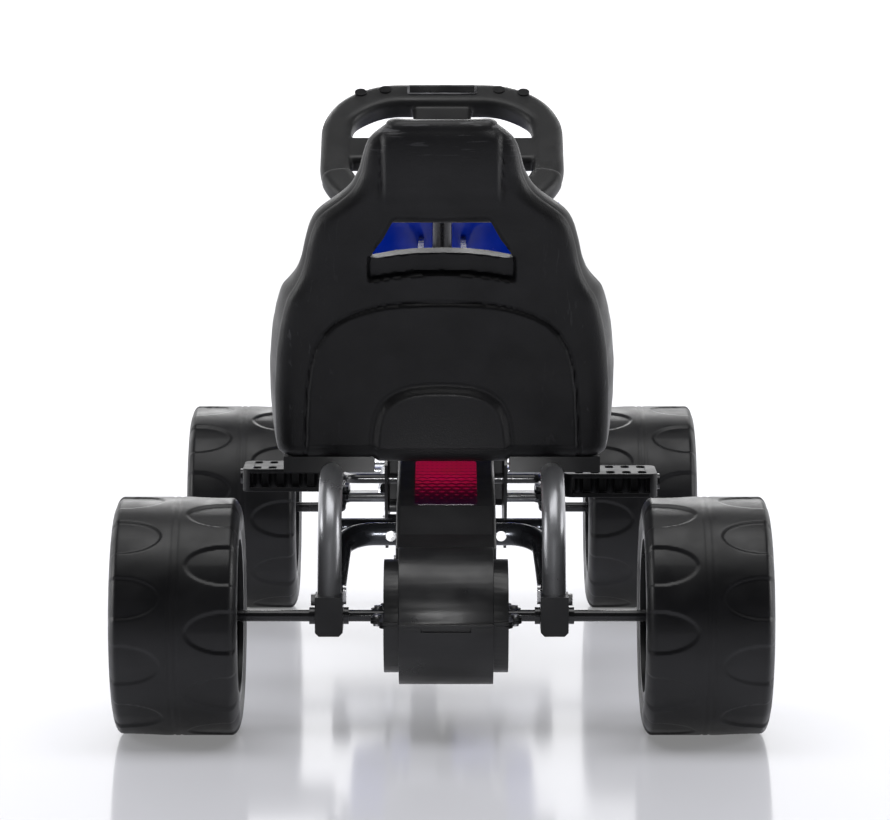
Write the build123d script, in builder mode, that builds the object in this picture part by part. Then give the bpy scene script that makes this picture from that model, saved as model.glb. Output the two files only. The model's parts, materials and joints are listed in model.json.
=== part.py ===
"""Pedal go kart: bucket seat on a bent tube frame, chain drive to the rear axle, wheel steering.

+Y is forward, +X the rider's right, +Z up.  The origin is on the ground, under the middle of
the kart's length and width.  Distances called "ahead" are measured forward of the rear axle,
and heights called "rise" are measured up from the axle line.
"""
from build123d import *
import math
import os

os.makedirs("parts", exist_ok=True)

# ------------------------------------------------------------------ overall sizes
overall_width = 610.0  # over the outer faces of the rear tyres
wheelbase = 700.0
tyre_radius = 111.5
tyre_width = 118.0
front_overhang = 168.5  # front axle to the front of the bumper
front_wheel_span = 553.4  # over the outer faces of the front tyres

# ------------------------------------------------------------------ fits
running_gap = 0.05  # radial, a shaft turning in its bush
clearance = 0.4  # between pieces that move past each other
loose_gap = 3.0  # radial, in the tie rods' outer eyes

# ------------------------------------------------------------------ wheels
shoulder_bulge = 9.0  # how far each sidewall stands out beyond the flat tread
tread_groove = 1.2
pocket_count = 11  # shallow pockets on each side of the tread
pocket_depth = 1.6
pocket_length = 41.0
pocket_width = 40.0
rim_radius = 80.0
rim_lip = 8.0
rim_wall = 4.0
hub_radius = 16.0
cap_radius = 24.0
window_count = 5

# ------------------------------------------------------------------ frame
axle_radius = 5.5
bush_radius = 8.0
tube_radius = 11.25
tube_wall = 1.8
tube_x = 105.5  # seat tubes and rear bearing blocks
beam_x = -20.0
beam_width = 28.0
beam_height = 40.0
beam_wall = 2.5
beam_rise = 38.5
beam_start = 50.0
block_width = 26.0
block_depth = 34.0
block_below = 17.5
block_above = 19.5
cross_bar_radius = 9.0
cross_bar_ahead = 285.0
cross_bar_rise = 40.5
stay_ahead = 165.0
stay_rise = 52.0
stay_bend = 34.0
stay_bolt_x = 53.5

# ------------------------------------------------------------------ drive
chain_pitch = 12.7
front_teeth = 28
rear_teeth = 20
roller_radius = 2.5
tooth_gap = 1.55  # between a roller and the sides of its tooth gap
tooth_rise = 2.2  # of a tooth tip above the pitch circle
chain_half_height = 4.0
chain_x = 18.0
crank_rise = 71.8
crank_radius = 85.0
crank_rod_radius = 5.0
crank_tilt = 6.2  # degrees that the right arm, pointing back, is raised
crank_half_span = 98.0  # from the drive's middle to the bends
spindle_half_span = 110.0
drive_x = 4.0  # middle of the drive covers and of the crank
pedal_length = 94.0
pedal_reach = 66.0
pedal_thickness = 24.0
pedal_start = 119.0  # from the drive's middle to the pedal's inner end

# ------------------------------------------------------------------ covers
cover_wall = 3.0
case_radius = 64.0
case_half_width = 44.0
drum_radius = 53.0
drum_half_width = 58.0
flange_half_width = 62.0
cover_half_width = 47.5
cowl_half_width = 62.0
chain_room = 12.0  # between the chainring and the top of the cowl

# ------------------------------------------------------------------ steering
kingpin_x = 112.0
steering_lock = 20.0
steering_arm = 40.0
column_tilt = 32.0  # degrees from upright
tie_rise = 18.0
tie_rod_radius = 3.5
shaft_radius = 6.0
column_radius = 11.0
column_start = 16.0  # lower end of the column tube, measured along the column
column_length = 290.0
wheel_along = 424.0  # middle of the steering wheel, measured along the column
steering_width = 253.0
steering_height = 225.0
ring_raise = 11.0  # the rim's middle above the hub, for a flatter bottom
ring_width = 31.0
ring_thickness = 24.0
steering_hub_radius = 50.0
axle_bar_depth = 40.0
axle_bar_thickness = 7.5
axle_bar_rise = 8.5

# ------------------------------------------------------------------ seat
seat_rise = 134.5  # underside of the seat above the axle line
seat_back_ahead = 110.0
seat_recline = 14.7
seat_half_width = 163.5
seat_back_length = 337.0  # along the back
seat_wall = 12.0
bolster_wall = 20.0
pedal_to_pan = 108.0  # from the crank centre back to the front edge of the pan

# ------------------------------------------------------------------ front end
bumper_radius = 11.0
bumper_half_length = 125.0
bumper_rise = 18.5
bumper_leg_x = 62.0
bumper_leg_radius = 9.0
fairing_wall = 3.0
fairing_bottom_rise = 64.0
fairing_top_rise = 344.0

# ------------------------------------------------------------------ worked out
overall_length = tyre_radius + wheelbase + front_overhang
axle_z = tyre_radius
rear_y = tyre_radius - overall_length / 2
front_y = rear_y + wheelbase
rear_wheel_x = overall_width / 2 - tyre_width / 2
front_wheel_x = front_wheel_span / 2 - tyre_width / 2
half_tyre = tyre_width / 2
half_tread = half_tyre - shoulder_bulge
lock = math.radians(steering_lock)
tilt = math.radians(column_tilt)
recline = math.radians(seat_recline)


def pitch_radius(teeth):
    """Radius of the circle that the chain's rollers follow on a sprocket."""
    return chain_pitch / (2 * math.sin(math.pi / teeth))


def centres_for(links):
    """Centre distance that a chain of this many links closes over the two sprockets."""
    free = links - (front_teeth + rear_teeth) / 2
    wrap = ((front_teeth - rear_teeth) / (2 * math.pi)) ** 2
    return chain_pitch * (free + math.sqrt(free**2 - 8 * wrap)) / 4


def longest_chain(room):
    """Largest even number of links whose centre distance is within the room."""
    links = 2 * math.ceil(room / chain_pitch)
    while centres_for(links + 2) <= room:
        links += 2
    return links


tyre_sweep = tyre_radius * math.cos(lock) + (front_wheel_span / 2 - kingpin_x) * math.sin(lock)
pedal_front_room = wheelbase - tyre_sweep - pedal_reach / 2 - crank_radius - 6.0
chain_links = longest_chain(math.hypot(pedal_front_room, crank_rise))
chain_centres = centres_for(chain_links)
crank_ahead = math.sqrt(chain_centres**2 - crank_rise**2)
crank_y = rear_y + crank_ahead
crank_z = axle_z + crank_rise
rear_pitch_radius = pitch_radius(rear_teeth)
front_pitch_radius = pitch_radius(front_teeth)
chain_slope = math.atan2(crank_rise, crank_ahead)
chain_spread = math.asin((front_pitch_radius - rear_pitch_radius) / chain_centres)
pan_front_ahead = crank_ahead - pedal_to_pan
beam_z = axle_z + beam_rise
seat_z = axle_z + seat_rise
seat_tube_z = seat_z - 17.0
cross_bar_z = axle_z + cross_bar_rise
stay_z = axle_z + stay_rise
block_top_z = axle_z + block_above
tie_z = axle_z + tie_rise
axle_bar_bottom_z = axle_z + axle_bar_rise
axle_bar_top_z = axle_bar_bottom_z + axle_bar_thickness
bumper_z = axle_z + bumper_rise
column_axis = Vector(0, -math.sin(tilt), math.cos(tilt))
column_across = Vector(0, math.cos(tilt), math.sin(tilt))
tie_pivot = Vector(0, front_y - steering_arm, tie_z)
column_foot = tie_pivot + column_across * steering_arm
pitman_lift = tie_rod_radius + clearance + 2.5
tie_lift = 2.9  # room above the tie rods, which rise as the wheel is turned
tie_spread = 8.0  # the pitman arm's two pins, each side of the middle


def ahead(distance):
    """Y of a place this far forward of the rear axle."""
    return rear_y + distance


def on_column(along, across=0.0):
    """Point in the column's upright plane, along its axis and square to it."""
    return column_foot + column_axis * along + column_across * across


def column_plane(along):
    """Plane square to the steering column, its local Y pointing forward and up."""
    origin = on_column(along)
    return Plane(origin=origin, x_dir=(1, 0, 0), z_dir=column_axis)


def side_plane(x):
    """Upright plane across X, drawn in (Y, Z)."""
    return Plane(origin=(x, 0, 0), x_dir=(0, 1, 0), z_dir=(1, 0, 0))


def hub_plane(x, y, z, side=1):
    """Plane square to an axle, its normal pointing out to that side."""
    return Plane(origin=(x, y, z), x_dir=(0, 1, 0), z_dir=(side, 0, 0))


def save(piece, name):
    """Label a finished piece and write it under its node name."""
    piece.part.label = name
    export_step(piece.part, f"parts/{name}.step")


def rod(start, end, radius, inner=0.0):
    """A straight round bar, or a tube, between two points."""
    start = Vector(*start)
    end = Vector(*end)
    with BuildPart() as bar:
        with BuildSketch(Plane(origin=start, z_dir=end - start)):
            Circle(radius)
            if inner:
                Circle(inner, mode=Mode.SUBTRACT)
        extrude(amount=(end - start).length)
    return bar.part


def bent_tube(points, radii, radius, inner):
    """A tube along straight runs joined by arcs."""
    with BuildPart() as tube:
        with BuildLine() as route:
            FilletPolyline(*points, radius=radii)
        wire = route.wire()
        with BuildSketch(Plane(origin=wire @ 0, z_dir=wire % 0)):
            Circle(radius)
            if inner:
                Circle(inner, mode=Mode.SUBTRACT)
        sweep(path=wire)
    return tube.part


def strip_outline(points, width):
    """Corners of a band of this width about a line of (y, z) points, mitred at its bends."""
    near, far = [], []
    for index, (y, z) in enumerate(points):
        before = Vector(*points[max(index - 1, 0)])
        here = Vector(y, z)
        after = Vector(*points[min(index + 1, len(points) - 1)])
        first = (here - before) if index else (after - here)
        last = (after - here) if index < len(points) - 1 else (here - before)
        first = first.normalized()
        last = last.normalized()
        normal = Vector(-first.Y - last.Y, first.X + last.X).normalized()
        reach = width / 2 / (normal.X * -first.Y + normal.Y * first.X)
        near.append((y - normal.X * reach, z - normal.Y * reach))
        far.append((y + normal.X * reach, z + normal.Y * reach))
    return near + far[::-1]


# ================================================================== wheels
def make_pocket():
    """Cutter for one shallow tread pocket, open at the shoulder and round at its inner end."""
    with BuildPart() as pocket:
        with BuildSketch(Plane.YZ.offset(tyre_radius - 12)):
            with Locations((0, half_tyre - pocket_length / 2)):
                outline = Rectangle(pocket_width, pocket_length)
            fillet(outline.vertices().group_by(Axis.Z)[0], radius=pocket_width * 0.36)
        extrude(amount=16)
        Cylinder(tyre_radius - pocket_depth, tyre_width * 2, mode=Mode.SUBTRACT)
    return pocket.part


def make_tyre():
    """Tyre about local Z, with rounded shoulders and staggered pockets in a flat tread."""
    pocket = make_pocket()
    wall_radius = rim_radius + 12
    with BuildPart() as tyre:
        with BuildSketch(Plane.XZ):
            with BuildLine():
                Line((rim_radius, -half_tyre + 2), (wall_radius, -half_tyre))
                TangentArc((wall_radius, -half_tyre), (tyre_radius, -half_tread), tangent=(1, 0))
                Line((tyre_radius, -half_tread), (tyre_radius, half_tread))
                TangentArc((wall_radius, half_tyre), (tyre_radius, half_tread), tangent=(1, 0))
                Line((wall_radius, half_tyre), (rim_radius, half_tyre - 2))
                Line((rim_radius, half_tyre - 2), (rim_radius, -half_tyre + 2))
            make_face()
            with Locations((tyre_radius, 2.4), (tyre_radius, -2.4)):
                Rectangle(2 * tread_groove, tread_groove, mode=Mode.SUBTRACT)
        revolve(axis=Axis.Z)
        with PolarLocations(0, pocket_count):
            add(pocket, mode=Mode.SUBTRACT)
        with PolarLocations(0, pocket_count, start_angle=180 / pocket_count):
            add(pocket.mirror(Plane.XY), mode=Mode.SUBTRACT)
    return tyre.part


def make_rim(bore):
    """Deep-dished rim about local Z, its web near the outer side, with a long hub."""
    edge = half_tyre - 2
    barrel = rim_radius - rim_wall
    lip = rim_radius - rim_lip
    with BuildPart() as rim:
        with BuildSketch(Plane.XZ):
            with BuildLine():
                Polyline(
                    (bore, -40), (hub_radius, -40), (hub_radius, 32), (barrel, 36),
                    (barrel, -edge + rim_wall), (lip, -edge + rim_wall), (lip, -edge),
                    (rim_radius, -edge), (rim_radius, edge), (lip + 2, edge),
                    (lip + 2, edge - 3), (barrel, edge - 5), (barrel, 41), (hub_radius, 38),
                    (hub_radius, 46), (bore, 46), close=True,
                )
            make_face()
        revolve(axis=Axis.Z)
        with BuildSketch(Plane.XY.offset(20)):
            with PolarLocations(46, window_count):
                Circle(13)
        extrude(amount=30, mode=Mode.SUBTRACT)
    return rim.part


def make_cap():
    """Outer trim disc with a hollow dome over the axle nut and five windows."""
    with BuildPart() as cap:
        with BuildSketch(Plane.XZ):
            with BuildLine():
                Polyline(
                    (0, 58), (cap_radius - 7, 58), (cap_radius, 52), (cap_radius + 1, 46),
                    (70, 44), (rim_radius - rim_wall, 44), (rim_radius - rim_wall, 41.6),
                    (70, 41.6), (21, 43), (21, 51), (16, 55.6), (0, 55.6), close=True,
                )
            make_face()
        revolve(axis=Axis.Z)
        with BuildSketch(Plane.XY.offset(38)):
            with PolarLocations(49, window_count, start_angle=36):
                Circle(12)
        extrude(amount=12, mode=Mode.SUBTRACT)
    return cap.part


def make_wheel_bushes():
    """Two flanged bushes pressed into a free-running hub."""
    with BuildPart() as bushes:
        for face, way in ((-40, 1), (46, -1)):
            with BuildSketch(Plane.XY.offset(face)):
                Circle(bush_radius)
                Circle(axle_radius + running_gap, mode=Mode.SUBTRACT)
            extrude(amount=18 * way)
            with BuildSketch(Plane.XY.offset(face)):
                Circle(bush_radius + 4)
                Circle(axle_radius + running_gap, mode=Mode.SUBTRACT)
            extrude(amount=-1.5 * way)
    return bushes.part


def place(master, plane, name):
    """Write a copy of a piece set on a plane."""
    with BuildPart() as piece:
        with Locations(plane.location):
            add(master)
    save(piece, name)


tyre_master = make_tyre()
driven_rim = make_rim(axle_radius)
free_rim = make_rim(bush_radius)
cap_master = make_cap()
bush_master = make_wheel_bushes()
for side, word in ((-1, "left"), (1, "right")):
    rear_hub = hub_plane(side * rear_wheel_x, rear_y, axle_z, side)
    front_hub = hub_plane(side * front_wheel_x, front_y, axle_z, side)
    place(tyre_master, rear_hub, f"tyre_rear_{word}")
    place(driven_rim, rear_hub, f"rim_rear_{word}")
    place(cap_master, rear_hub, f"wheel_cap_rear_{word}")
    place(tyre_master, front_hub, f"tyre_front_{word}")
    place(free_rim, front_hub, f"rim_front_{word}")
    place(cap_master, front_hub, f"wheel_cap_front_{word}")
    place(bush_master, front_hub, f"hub_bushes_front_{word}")

# ================================================================== rear axle
axle_half = rear_wheel_x + 54
nut_start = rear_wheel_x + 46
with BuildPart() as rear_axle:
    with BuildSketch(side_plane(-axle_half)):
        with Locations((rear_y, axle_z)):
            Circle(axle_radius)
    extrude(amount=2 * axle_half)
    for side in (-1, 1):
        for face in (tube_x - block_width / 2 - clearance - 5, tube_x + block_width / 2 + clearance):
            with BuildSketch(side_plane(side * face)):
                with Locations((rear_y, axle_z)):
                    Circle(axle_radius + 2.5)
            extrude(amount=side * 5)
save(rear_axle, "rear_axle")

with BuildPart() as axle_nuts:
    for side in (-1, 1):
        with BuildSketch(hub_plane(side * nut_start, rear_y, axle_z, side)):
            RegularPolygon(9, 6)
            Circle(axle_radius, mode=Mode.SUBTRACT)
        extrude(amount=6)
save(axle_nuts, "axle_nuts")


def make_sprocket(teeth, plane, bore, hub, hub_reach, phase, window_radius=0.0):
    """Toothed wheel with a hub, its gaps sized for the chain's rollers."""
    radius = pitch_radius(teeth)
    with BuildPart() as sprocket:
        with BuildSketch(plane):
            Circle(radius + tooth_rise)
            with PolarLocations(radius, teeth, start_angle=phase):
                Circle(roller_radius + tooth_gap, mode=Mode.SUBTRACT)
            if window_radius:
                with PolarLocations((hub + radius) / 2, 5):
                    Circle(window_radius, mode=Mode.SUBTRACT)
        extrude(amount=1.5, both=True)
        with BuildSketch(plane):
            Circle(hub)
        extrude(amount=hub_reach, both=True)
        with BuildSketch(plane):
            Circle(bore)
        extrude(amount=hub_reach + 1, both=True, mode=Mode.SUBTRACT)
    return sprocket


# The chain leaves both sprockets at the tangent points of its upper run.
upper_angle = chain_slope + math.pi / 2 + chain_spread
lower_angle = chain_slope - math.pi / 2 - chain_spread
run_length = math.sqrt(chain_centres**2 - (front_pitch_radius - rear_pitch_radius) ** 2)
front_wrap = math.pi + 2 * chain_spread
rear_wrap = math.pi - 2 * chain_spread
loop_length = 2 * run_length + front_wrap * front_pitch_radius + rear_wrap * rear_pitch_radius
roller_step = loop_length / chain_links


def on_sprocket(middle_y, middle_z, radius, angle):
    """Point on a sprocket's pitch circle."""
    return (middle_y + radius * math.cos(angle), middle_z + radius * math.sin(angle))


def chain_point(travel):
    """Place of a point that is this far round the chain from the rear sprocket's top."""
    if travel < run_length:
        start = on_sprocket(rear_y, axle_z, rear_pitch_radius, upper_angle)
        end = on_sprocket(crank_y, crank_z, front_pitch_radius, upper_angle)
        share = travel / run_length
        return tuple(a + (b - a) * share for a, b in zip(start, end))
    travel -= run_length
    if travel < front_wrap * front_pitch_radius:
        turn = upper_angle - travel / front_pitch_radius
        return on_sprocket(crank_y, crank_z, front_pitch_radius, turn)
    travel -= front_wrap * front_pitch_radius
    if travel < run_length:
        start = on_sprocket(crank_y, crank_z, front_pitch_radius, lower_angle)
        end = on_sprocket(rear_y, axle_z, rear_pitch_radius, lower_angle)
        share = travel / run_length
        return tuple(a + (b - a) * share for a, b in zip(start, end))
    travel -= run_length
    turn = lower_angle - travel / rear_pitch_radius
    return on_sprocket(rear_y, axle_z, rear_pitch_radius, turn)


rollers = [chain_point(index * roller_step) for index in range(chain_links)]


def off_teeth(point):
    """Whether a roller here stays clear of both sprockets as they turn."""
    reach = tooth_rise + roller_radius + clearance
    from_rear = math.hypot(point[0] - rear_y, point[1] - axle_z)
    from_front = math.hypot(point[0] - crank_y, point[1] - crank_z)
    return from_rear > rear_pitch_radius + reach and from_front > front_pitch_radius + reach


def mesh_angle(middle_y, middle_z, way):
    """Angle of the roller that lies furthest round this sprocket, on the side it points to."""
    point = max(rollers, key=lambda p: way * (p[0] - middle_y))
    return math.degrees(math.atan2(point[1] - middle_z, point[0] - middle_y))


rear_sprocket = make_sprocket(
    rear_teeth, hub_plane(chain_x, rear_y, axle_z), axle_radius, 14, 6,
    mesh_angle(rear_y, axle_z, -1),
)
save(rear_sprocket, "rear_sprocket")

with BuildPart() as chain_inside:
    with BuildSketch(side_plane(chain_x - 5)):
        with Locations((rear_y, axle_z)):
            Circle(rear_pitch_radius - chain_half_height)
        with Locations((crank_y, crank_z)):
            Circle(front_pitch_radius - chain_half_height)
        make_hull()
    extrude(amount=10)

with BuildPart() as chain:
    for side in (-1, 1):
        with BuildSketch(side_plane(chain_x + side * 2.2)):
            with Locations((rear_y, axle_z)):
                Circle(rear_pitch_radius + chain_half_height)
            with Locations((crank_y, crank_z)):
                Circle(front_pitch_radius + chain_half_height)
            make_hull()
        extrude(amount=side * 1.4)
    add(chain_inside.part, mode=Mode.SUBTRACT)
    with BuildSketch(side_plane(chain_x - 3.6)):
        with Locations(*filter(off_teeth, rollers)):
            Circle(roller_radius)
    extrude(amount=7.2)
save(chain, "chain")

# ================================================================== crank and pedals
arm_turn = math.radians(crank_tilt)
arm_y = crank_radius * math.cos(arm_turn)
arm_z = crank_radius * math.sin(arm_turn)
spindle_end = pedal_start + pedal_length + 3
right_pin = (crank_y - arm_y, crank_z + arm_z)
left_pin = (crank_y + arm_y, crank_z - arm_z)
with BuildPart() as crankshaft:
    add(
        bent_tube(
            [
                (drive_x - spindle_end, *left_pin),
                (drive_x - spindle_half_span, *left_pin),
                (drive_x - crank_half_span, crank_y, crank_z),
                (drive_x + crank_half_span, crank_y, crank_z),
                (drive_x + spindle_half_span, *right_pin),
                (drive_x + spindle_end, *right_pin),
            ],
            9, crank_rod_radius, 0,
        )
    )
    for side, pin in ((-1, left_pin), (1, right_pin)):
        with BuildSketch(hub_plane(drive_x + side * (spindle_end - 2.6), *pin, side)):
            Circle(8)
        extrude(amount=3)
    with BuildSketch(side_plane(beam_x - beam_width / 2 - 2.5 - clearance)):
        with Locations((crank_y, crank_z)):
            Circle(9)
    extrude(amount=-5)
save(crankshaft, "crankshaft")

chainring = make_sprocket(
    front_teeth, hub_plane(chain_x, crank_y, crank_z), crank_rod_radius, 14, 8,
    mesh_angle(crank_y, crank_z, 1), window_radius=9,
)
save(chainring, "chainring")


def make_pedal(side, pin):
    """Two rims joined by ribs about a spindle tube, with holes through the tread plates."""
    middle_x = drive_x + side * (pedal_start + pedal_length / 2)
    with BuildPart() as pedal:
        with BuildSketch(Plane(origin=(middle_x, pin[0], pin[1] - pedal_thickness / 2))):
            RectangleRounded(pedal_length, pedal_reach, 9)
        extrude(amount=pedal_thickness)
        for way in (-1, 1):
            with Locations((middle_x, pin[0] + way * pedal_reach / 2, pin[1])):
                Box(pedal_length - 16, 24, pedal_thickness - 9, mode=Mode.SUBTRACT)
        with BuildSketch(Plane(origin=(middle_x, pin[0], pin[1] - pedal_thickness))):
            with GridLocations(16, 40, 5, 2):
                SlotOverall(18, 8, rotation=90)
        extrude(amount=2 * pedal_thickness, mode=Mode.SUBTRACT)
        with BuildSketch(side_plane(middle_x - pedal_length)):
            with Locations(pin):
                Circle(crank_rod_radius + running_gap)
        extrude(amount=2 * pedal_length, mode=Mode.SUBTRACT)
    return pedal


save(make_pedal(-1, left_pin), "pedal_left")
save(make_pedal(1, right_pin), "pedal_right")

# ================================================================== frame
beam_line = [
    (ahead(beam_start), beam_z),
    (crank_y + 40, beam_z),
    (front_y - 90, axle_bar_bottom_z - beam_height / 2),
    (front_y + 30, axle_bar_bottom_z - beam_height / 2),
]
hanger_radius = 13.3
with BuildPart() as main_beam:
    with BuildSketch(side_plane(beam_x - beam_width / 2)):
        Polygon(*strip_outline(beam_line, beam_height), align=None)
        with Locations((crank_y, (crank_z + beam_z) / 2)):
            Rectangle(2 * hanger_radius, crank_z - beam_z)
        with Locations((crank_y, crank_z)):
            Circle(hanger_radius)
    extrude(amount=beam_width)
    with BuildSketch(side_plane(beam_x - beam_width / 2 + beam_wall)):
        Polygon(*strip_outline(beam_line, beam_height - 2 * beam_wall), align=None)
    extrude(amount=beam_width - 2 * beam_wall, mode=Mode.SUBTRACT)
    with BuildSketch(side_plane(beam_x - beam_width)):
        with Locations((crank_y, crank_z)):
            Circle(bush_radius + 1)
        with Locations((ahead(cross_bar_ahead), cross_bar_z)):
            Circle(cross_bar_radius)
    extrude(amount=2 * beam_width, mode=Mode.SUBTRACT)
save(main_beam, "main_beam")

with BuildPart() as crank_bush:
    with BuildSketch(side_plane(beam_x - beam_width / 2 - 2)):
        with Locations((crank_y, crank_z)):
            Circle(bush_radius + 4)
    extrude(amount=2)
    with BuildSketch(side_plane(beam_x - beam_width / 2)):
        with Locations((crank_y, crank_z)):
            Circle(bush_radius + 1)
    extrude(amount=beam_width)
    with BuildSketch(side_plane(beam_x - beam_width)):
        with Locations((crank_y, crank_z)):
            Circle(crank_rod_radius + running_gap)
    extrude(amount=2 * beam_width, mode=Mode.SUBTRACT)
save(crank_bush, "crank_bush")

seat_bolt_spots = [(tube_x, seat_back_ahead + 24), (tube_x, pan_front_ahead - 34)]
seat_bolt_radius = 3.0
seat_bolt_head = 7.0
seat_bolt_head_depth = 2.5
with BuildPart() as bolt_holes:
    for side in (-1, 1):
        for x, distance in seat_bolt_spots:
            with Locations((side * x, ahead(distance), seat_z)):
                Cylinder(seat_bolt_radius, 60)
            with BuildSketch(Plane.XY.offset(seat_z + seat_wall - seat_bolt_head_depth)):
                with Locations((side * x, ahead(distance))):
                    Circle(seat_bolt_head)
            extrude(amount=10)


def make_seat_tube(side):
    """Tube that stands in the bearing block, curves forward and runs under the seat."""
    x = side * tube_x
    points = [
        (x, ahead(4), block_top_z - 10),
        (x, ahead(42), seat_tube_z),
        (x, ahead(pan_front_ahead - 12), seat_tube_z),
    ]
    with BuildPart() as tube:
        add(bent_tube(points, 84, tube_radius, tube_radius - tube_wall))
        add(bolt_holes.part, mode=Mode.SUBTRACT)
        with Locations((x, ahead(4), block_top_z - 5)):
            Cylinder(3, 60, rotation=(0, 90, 0), mode=Mode.SUBTRACT)
    return tube


def make_block(side):
    """Bearing block: axle bore below, a socket for the seat tube above."""
    x = side * tube_x
    low = axle_z - block_below
    with BuildPart() as block:
        with BuildSketch(Plane.XY.offset(low)):
            with Locations((x, ahead(2))):
                Rectangle(block_width, block_depth)
        extrude(amount=block_below + block_above)
        foot = block.faces().sort_by(Axis.Z)[0]
        chamfer(foot.edges().filter_by(Axis.Y), length=3.6)
        with BuildSketch(side_plane(x - block_width)):
            with Locations((rear_y, axle_z)):
                Circle(bush_radius)
        extrude(amount=2 * block_width, mode=Mode.SUBTRACT)
        add(
            rod(
                (x, ahead(4), block_top_z - 10), (x, ahead(42), seat_tube_z), tube_radius
            ),
            mode=Mode.SUBTRACT,
        )
        with Locations((x, ahead(4), block_top_z - 5)):
            Cylinder(3, 60, rotation=(0, 90, 0), mode=Mode.SUBTRACT)
    return block


for side, word in ((-1, "left"), (1, "right")):
    save(make_seat_tube(side), f"seat_tube_{word}")
    save(make_block(side), f"bearing_block_{word}")

with BuildPart() as axle_bushes:
    for side in (-1, 1):
        with BuildSketch(side_plane(side * tube_x)):
            with Locations((rear_y, axle_z)):
                Circle(bush_radius)
                Circle(axle_radius + running_gap, mode=Mode.SUBTRACT)
        extrude(amount=block_width / 2, both=True)
save(axle_bushes, "axle_bushes")

with BuildPart() as wing_bolts:
    for side in (-1, 1):
        inner = tube_x - block_width / 2
        with BuildSketch(side_plane(side * inner)):
            with Locations((ahead(4), block_top_z - 5)):
                Circle(3)
        extrude(amount=side * block_width)
        with BuildSketch(side_plane(side * (inner + block_width))):
            with Locations((ahead(4), block_top_z - 5)):
                RegularPolygon(6, 6)
        extrude(amount=side * 4)
        with BuildSketch(side_plane(side * inner)):
            with Locations((ahead(4), block_top_z)):
                SlotOverall(19, 11, rotation=90)
        extrude(amount=-side * 3)
save(wing_bolts, "wing_bolts")

block_front = ahead(block_depth / 2 + 2)


def make_stay(side):
    """Tube from the bearing block forward, then across to the side of the main beam."""
    inner = beam_x + side * beam_width / 2
    points = [
        (side * tube_x, ahead(block_depth / 4), axle_z - 7),
        (side * (tube_x - 8), ahead(stay_ahead), stay_z),
        (inner, ahead(stay_ahead), stay_z),
    ]
    with BuildPart() as stay:
        add(bent_tube(points, stay_bend, tube_radius, tube_radius - tube_wall))
        with Locations((side * tube_x, block_front - block_depth / 2, axle_z)):
            Box(2 * block_width, block_depth, 2 * block_width, mode=Mode.SUBTRACT)
        with Locations((drive_x + side * stay_bolt_x, ahead(stay_ahead), stay_z)):
            Cylinder(3, 60, rotation=(90, 0, 0), mode=Mode.SUBTRACT)
    return stay


save(make_stay(-1), "rear_stay_left")
save(make_stay(1), "rear_stay_right")

with BuildPart() as stay_bolts:
    for side in (-1, 1):
        spot = (drive_x + side * stay_bolt_x, ahead(stay_ahead), stay_z)
        with Locations(spot):
            Cylinder(3, 2 * tube_radius + 8, rotation=(90, 0, 0))
        for way in (-1, 1):
            with Locations((spot[0], spot[1] + way * (tube_radius + 2), spot[2])):
                Cylinder(5, 4, rotation=(90, 0, 0))
save(stay_bolts, "stay_bolts")

cross_bar_half = tube_x + 10
with BuildPart() as seat_cross_bar:
    for side in (-1, 1):
        with BuildSketch(side_plane(side * (tube_x - 2.5))):
            with Locations((ahead(cross_bar_ahead) - 6, (cross_bar_z + seat_tube_z) / 2 - 3)):
                Rectangle(22, seat_tube_z - cross_bar_z + 6)
        extrude(amount=side * 5)
    for side in (-1, 1):
        x = side * tube_x
        start = (x, ahead(0), seat_tube_z)
        add(rod(start, (x, ahead(400), seat_tube_z), tube_radius), mode=Mode.SUBTRACT)
    middle = (ahead(cross_bar_ahead), cross_bar_z)
    add(rod((-cross_bar_half, *middle), (cross_bar_half, *middle), cross_bar_radius))
    core = cross_bar_radius - 2
    bore = rod((-cross_bar_half - 1, *middle), (cross_bar_half + 1, *middle), core)
    add(bore, mode=Mode.SUBTRACT)
save(seat_cross_bar, "seat_cross_bar")

# ================================================================== front axle and steering
with BuildPart() as front_axle:
    bar_half = kingpin_x + 6
    with BuildSketch(Plane.XY.offset(axle_bar_bottom_z)):
        with Locations((0, front_y)):
            Rectangle(2 * bar_half, axle_bar_depth)
    extrude(amount=axle_bar_thickness)
    sleeve_bottom = axle_z + axle_radius + clearance
    sleeve_top = tie_z + tie_rod_radius + tie_lift
    for side in (-1, 1):
        with BuildSketch(Plane.XY.offset(sleeve_bottom)):
            with Locations((side * kingpin_x, front_y)):
                Circle(axle_radius + 5)
        extrude(amount=sleeve_top - sleeve_bottom)
        with Locations((side * kingpin_x, front_y, axle_z)):
            Cylinder(axle_radius + running_gap, 100, mode=Mode.SUBTRACT)
save(front_axle, "front_axle")

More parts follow.
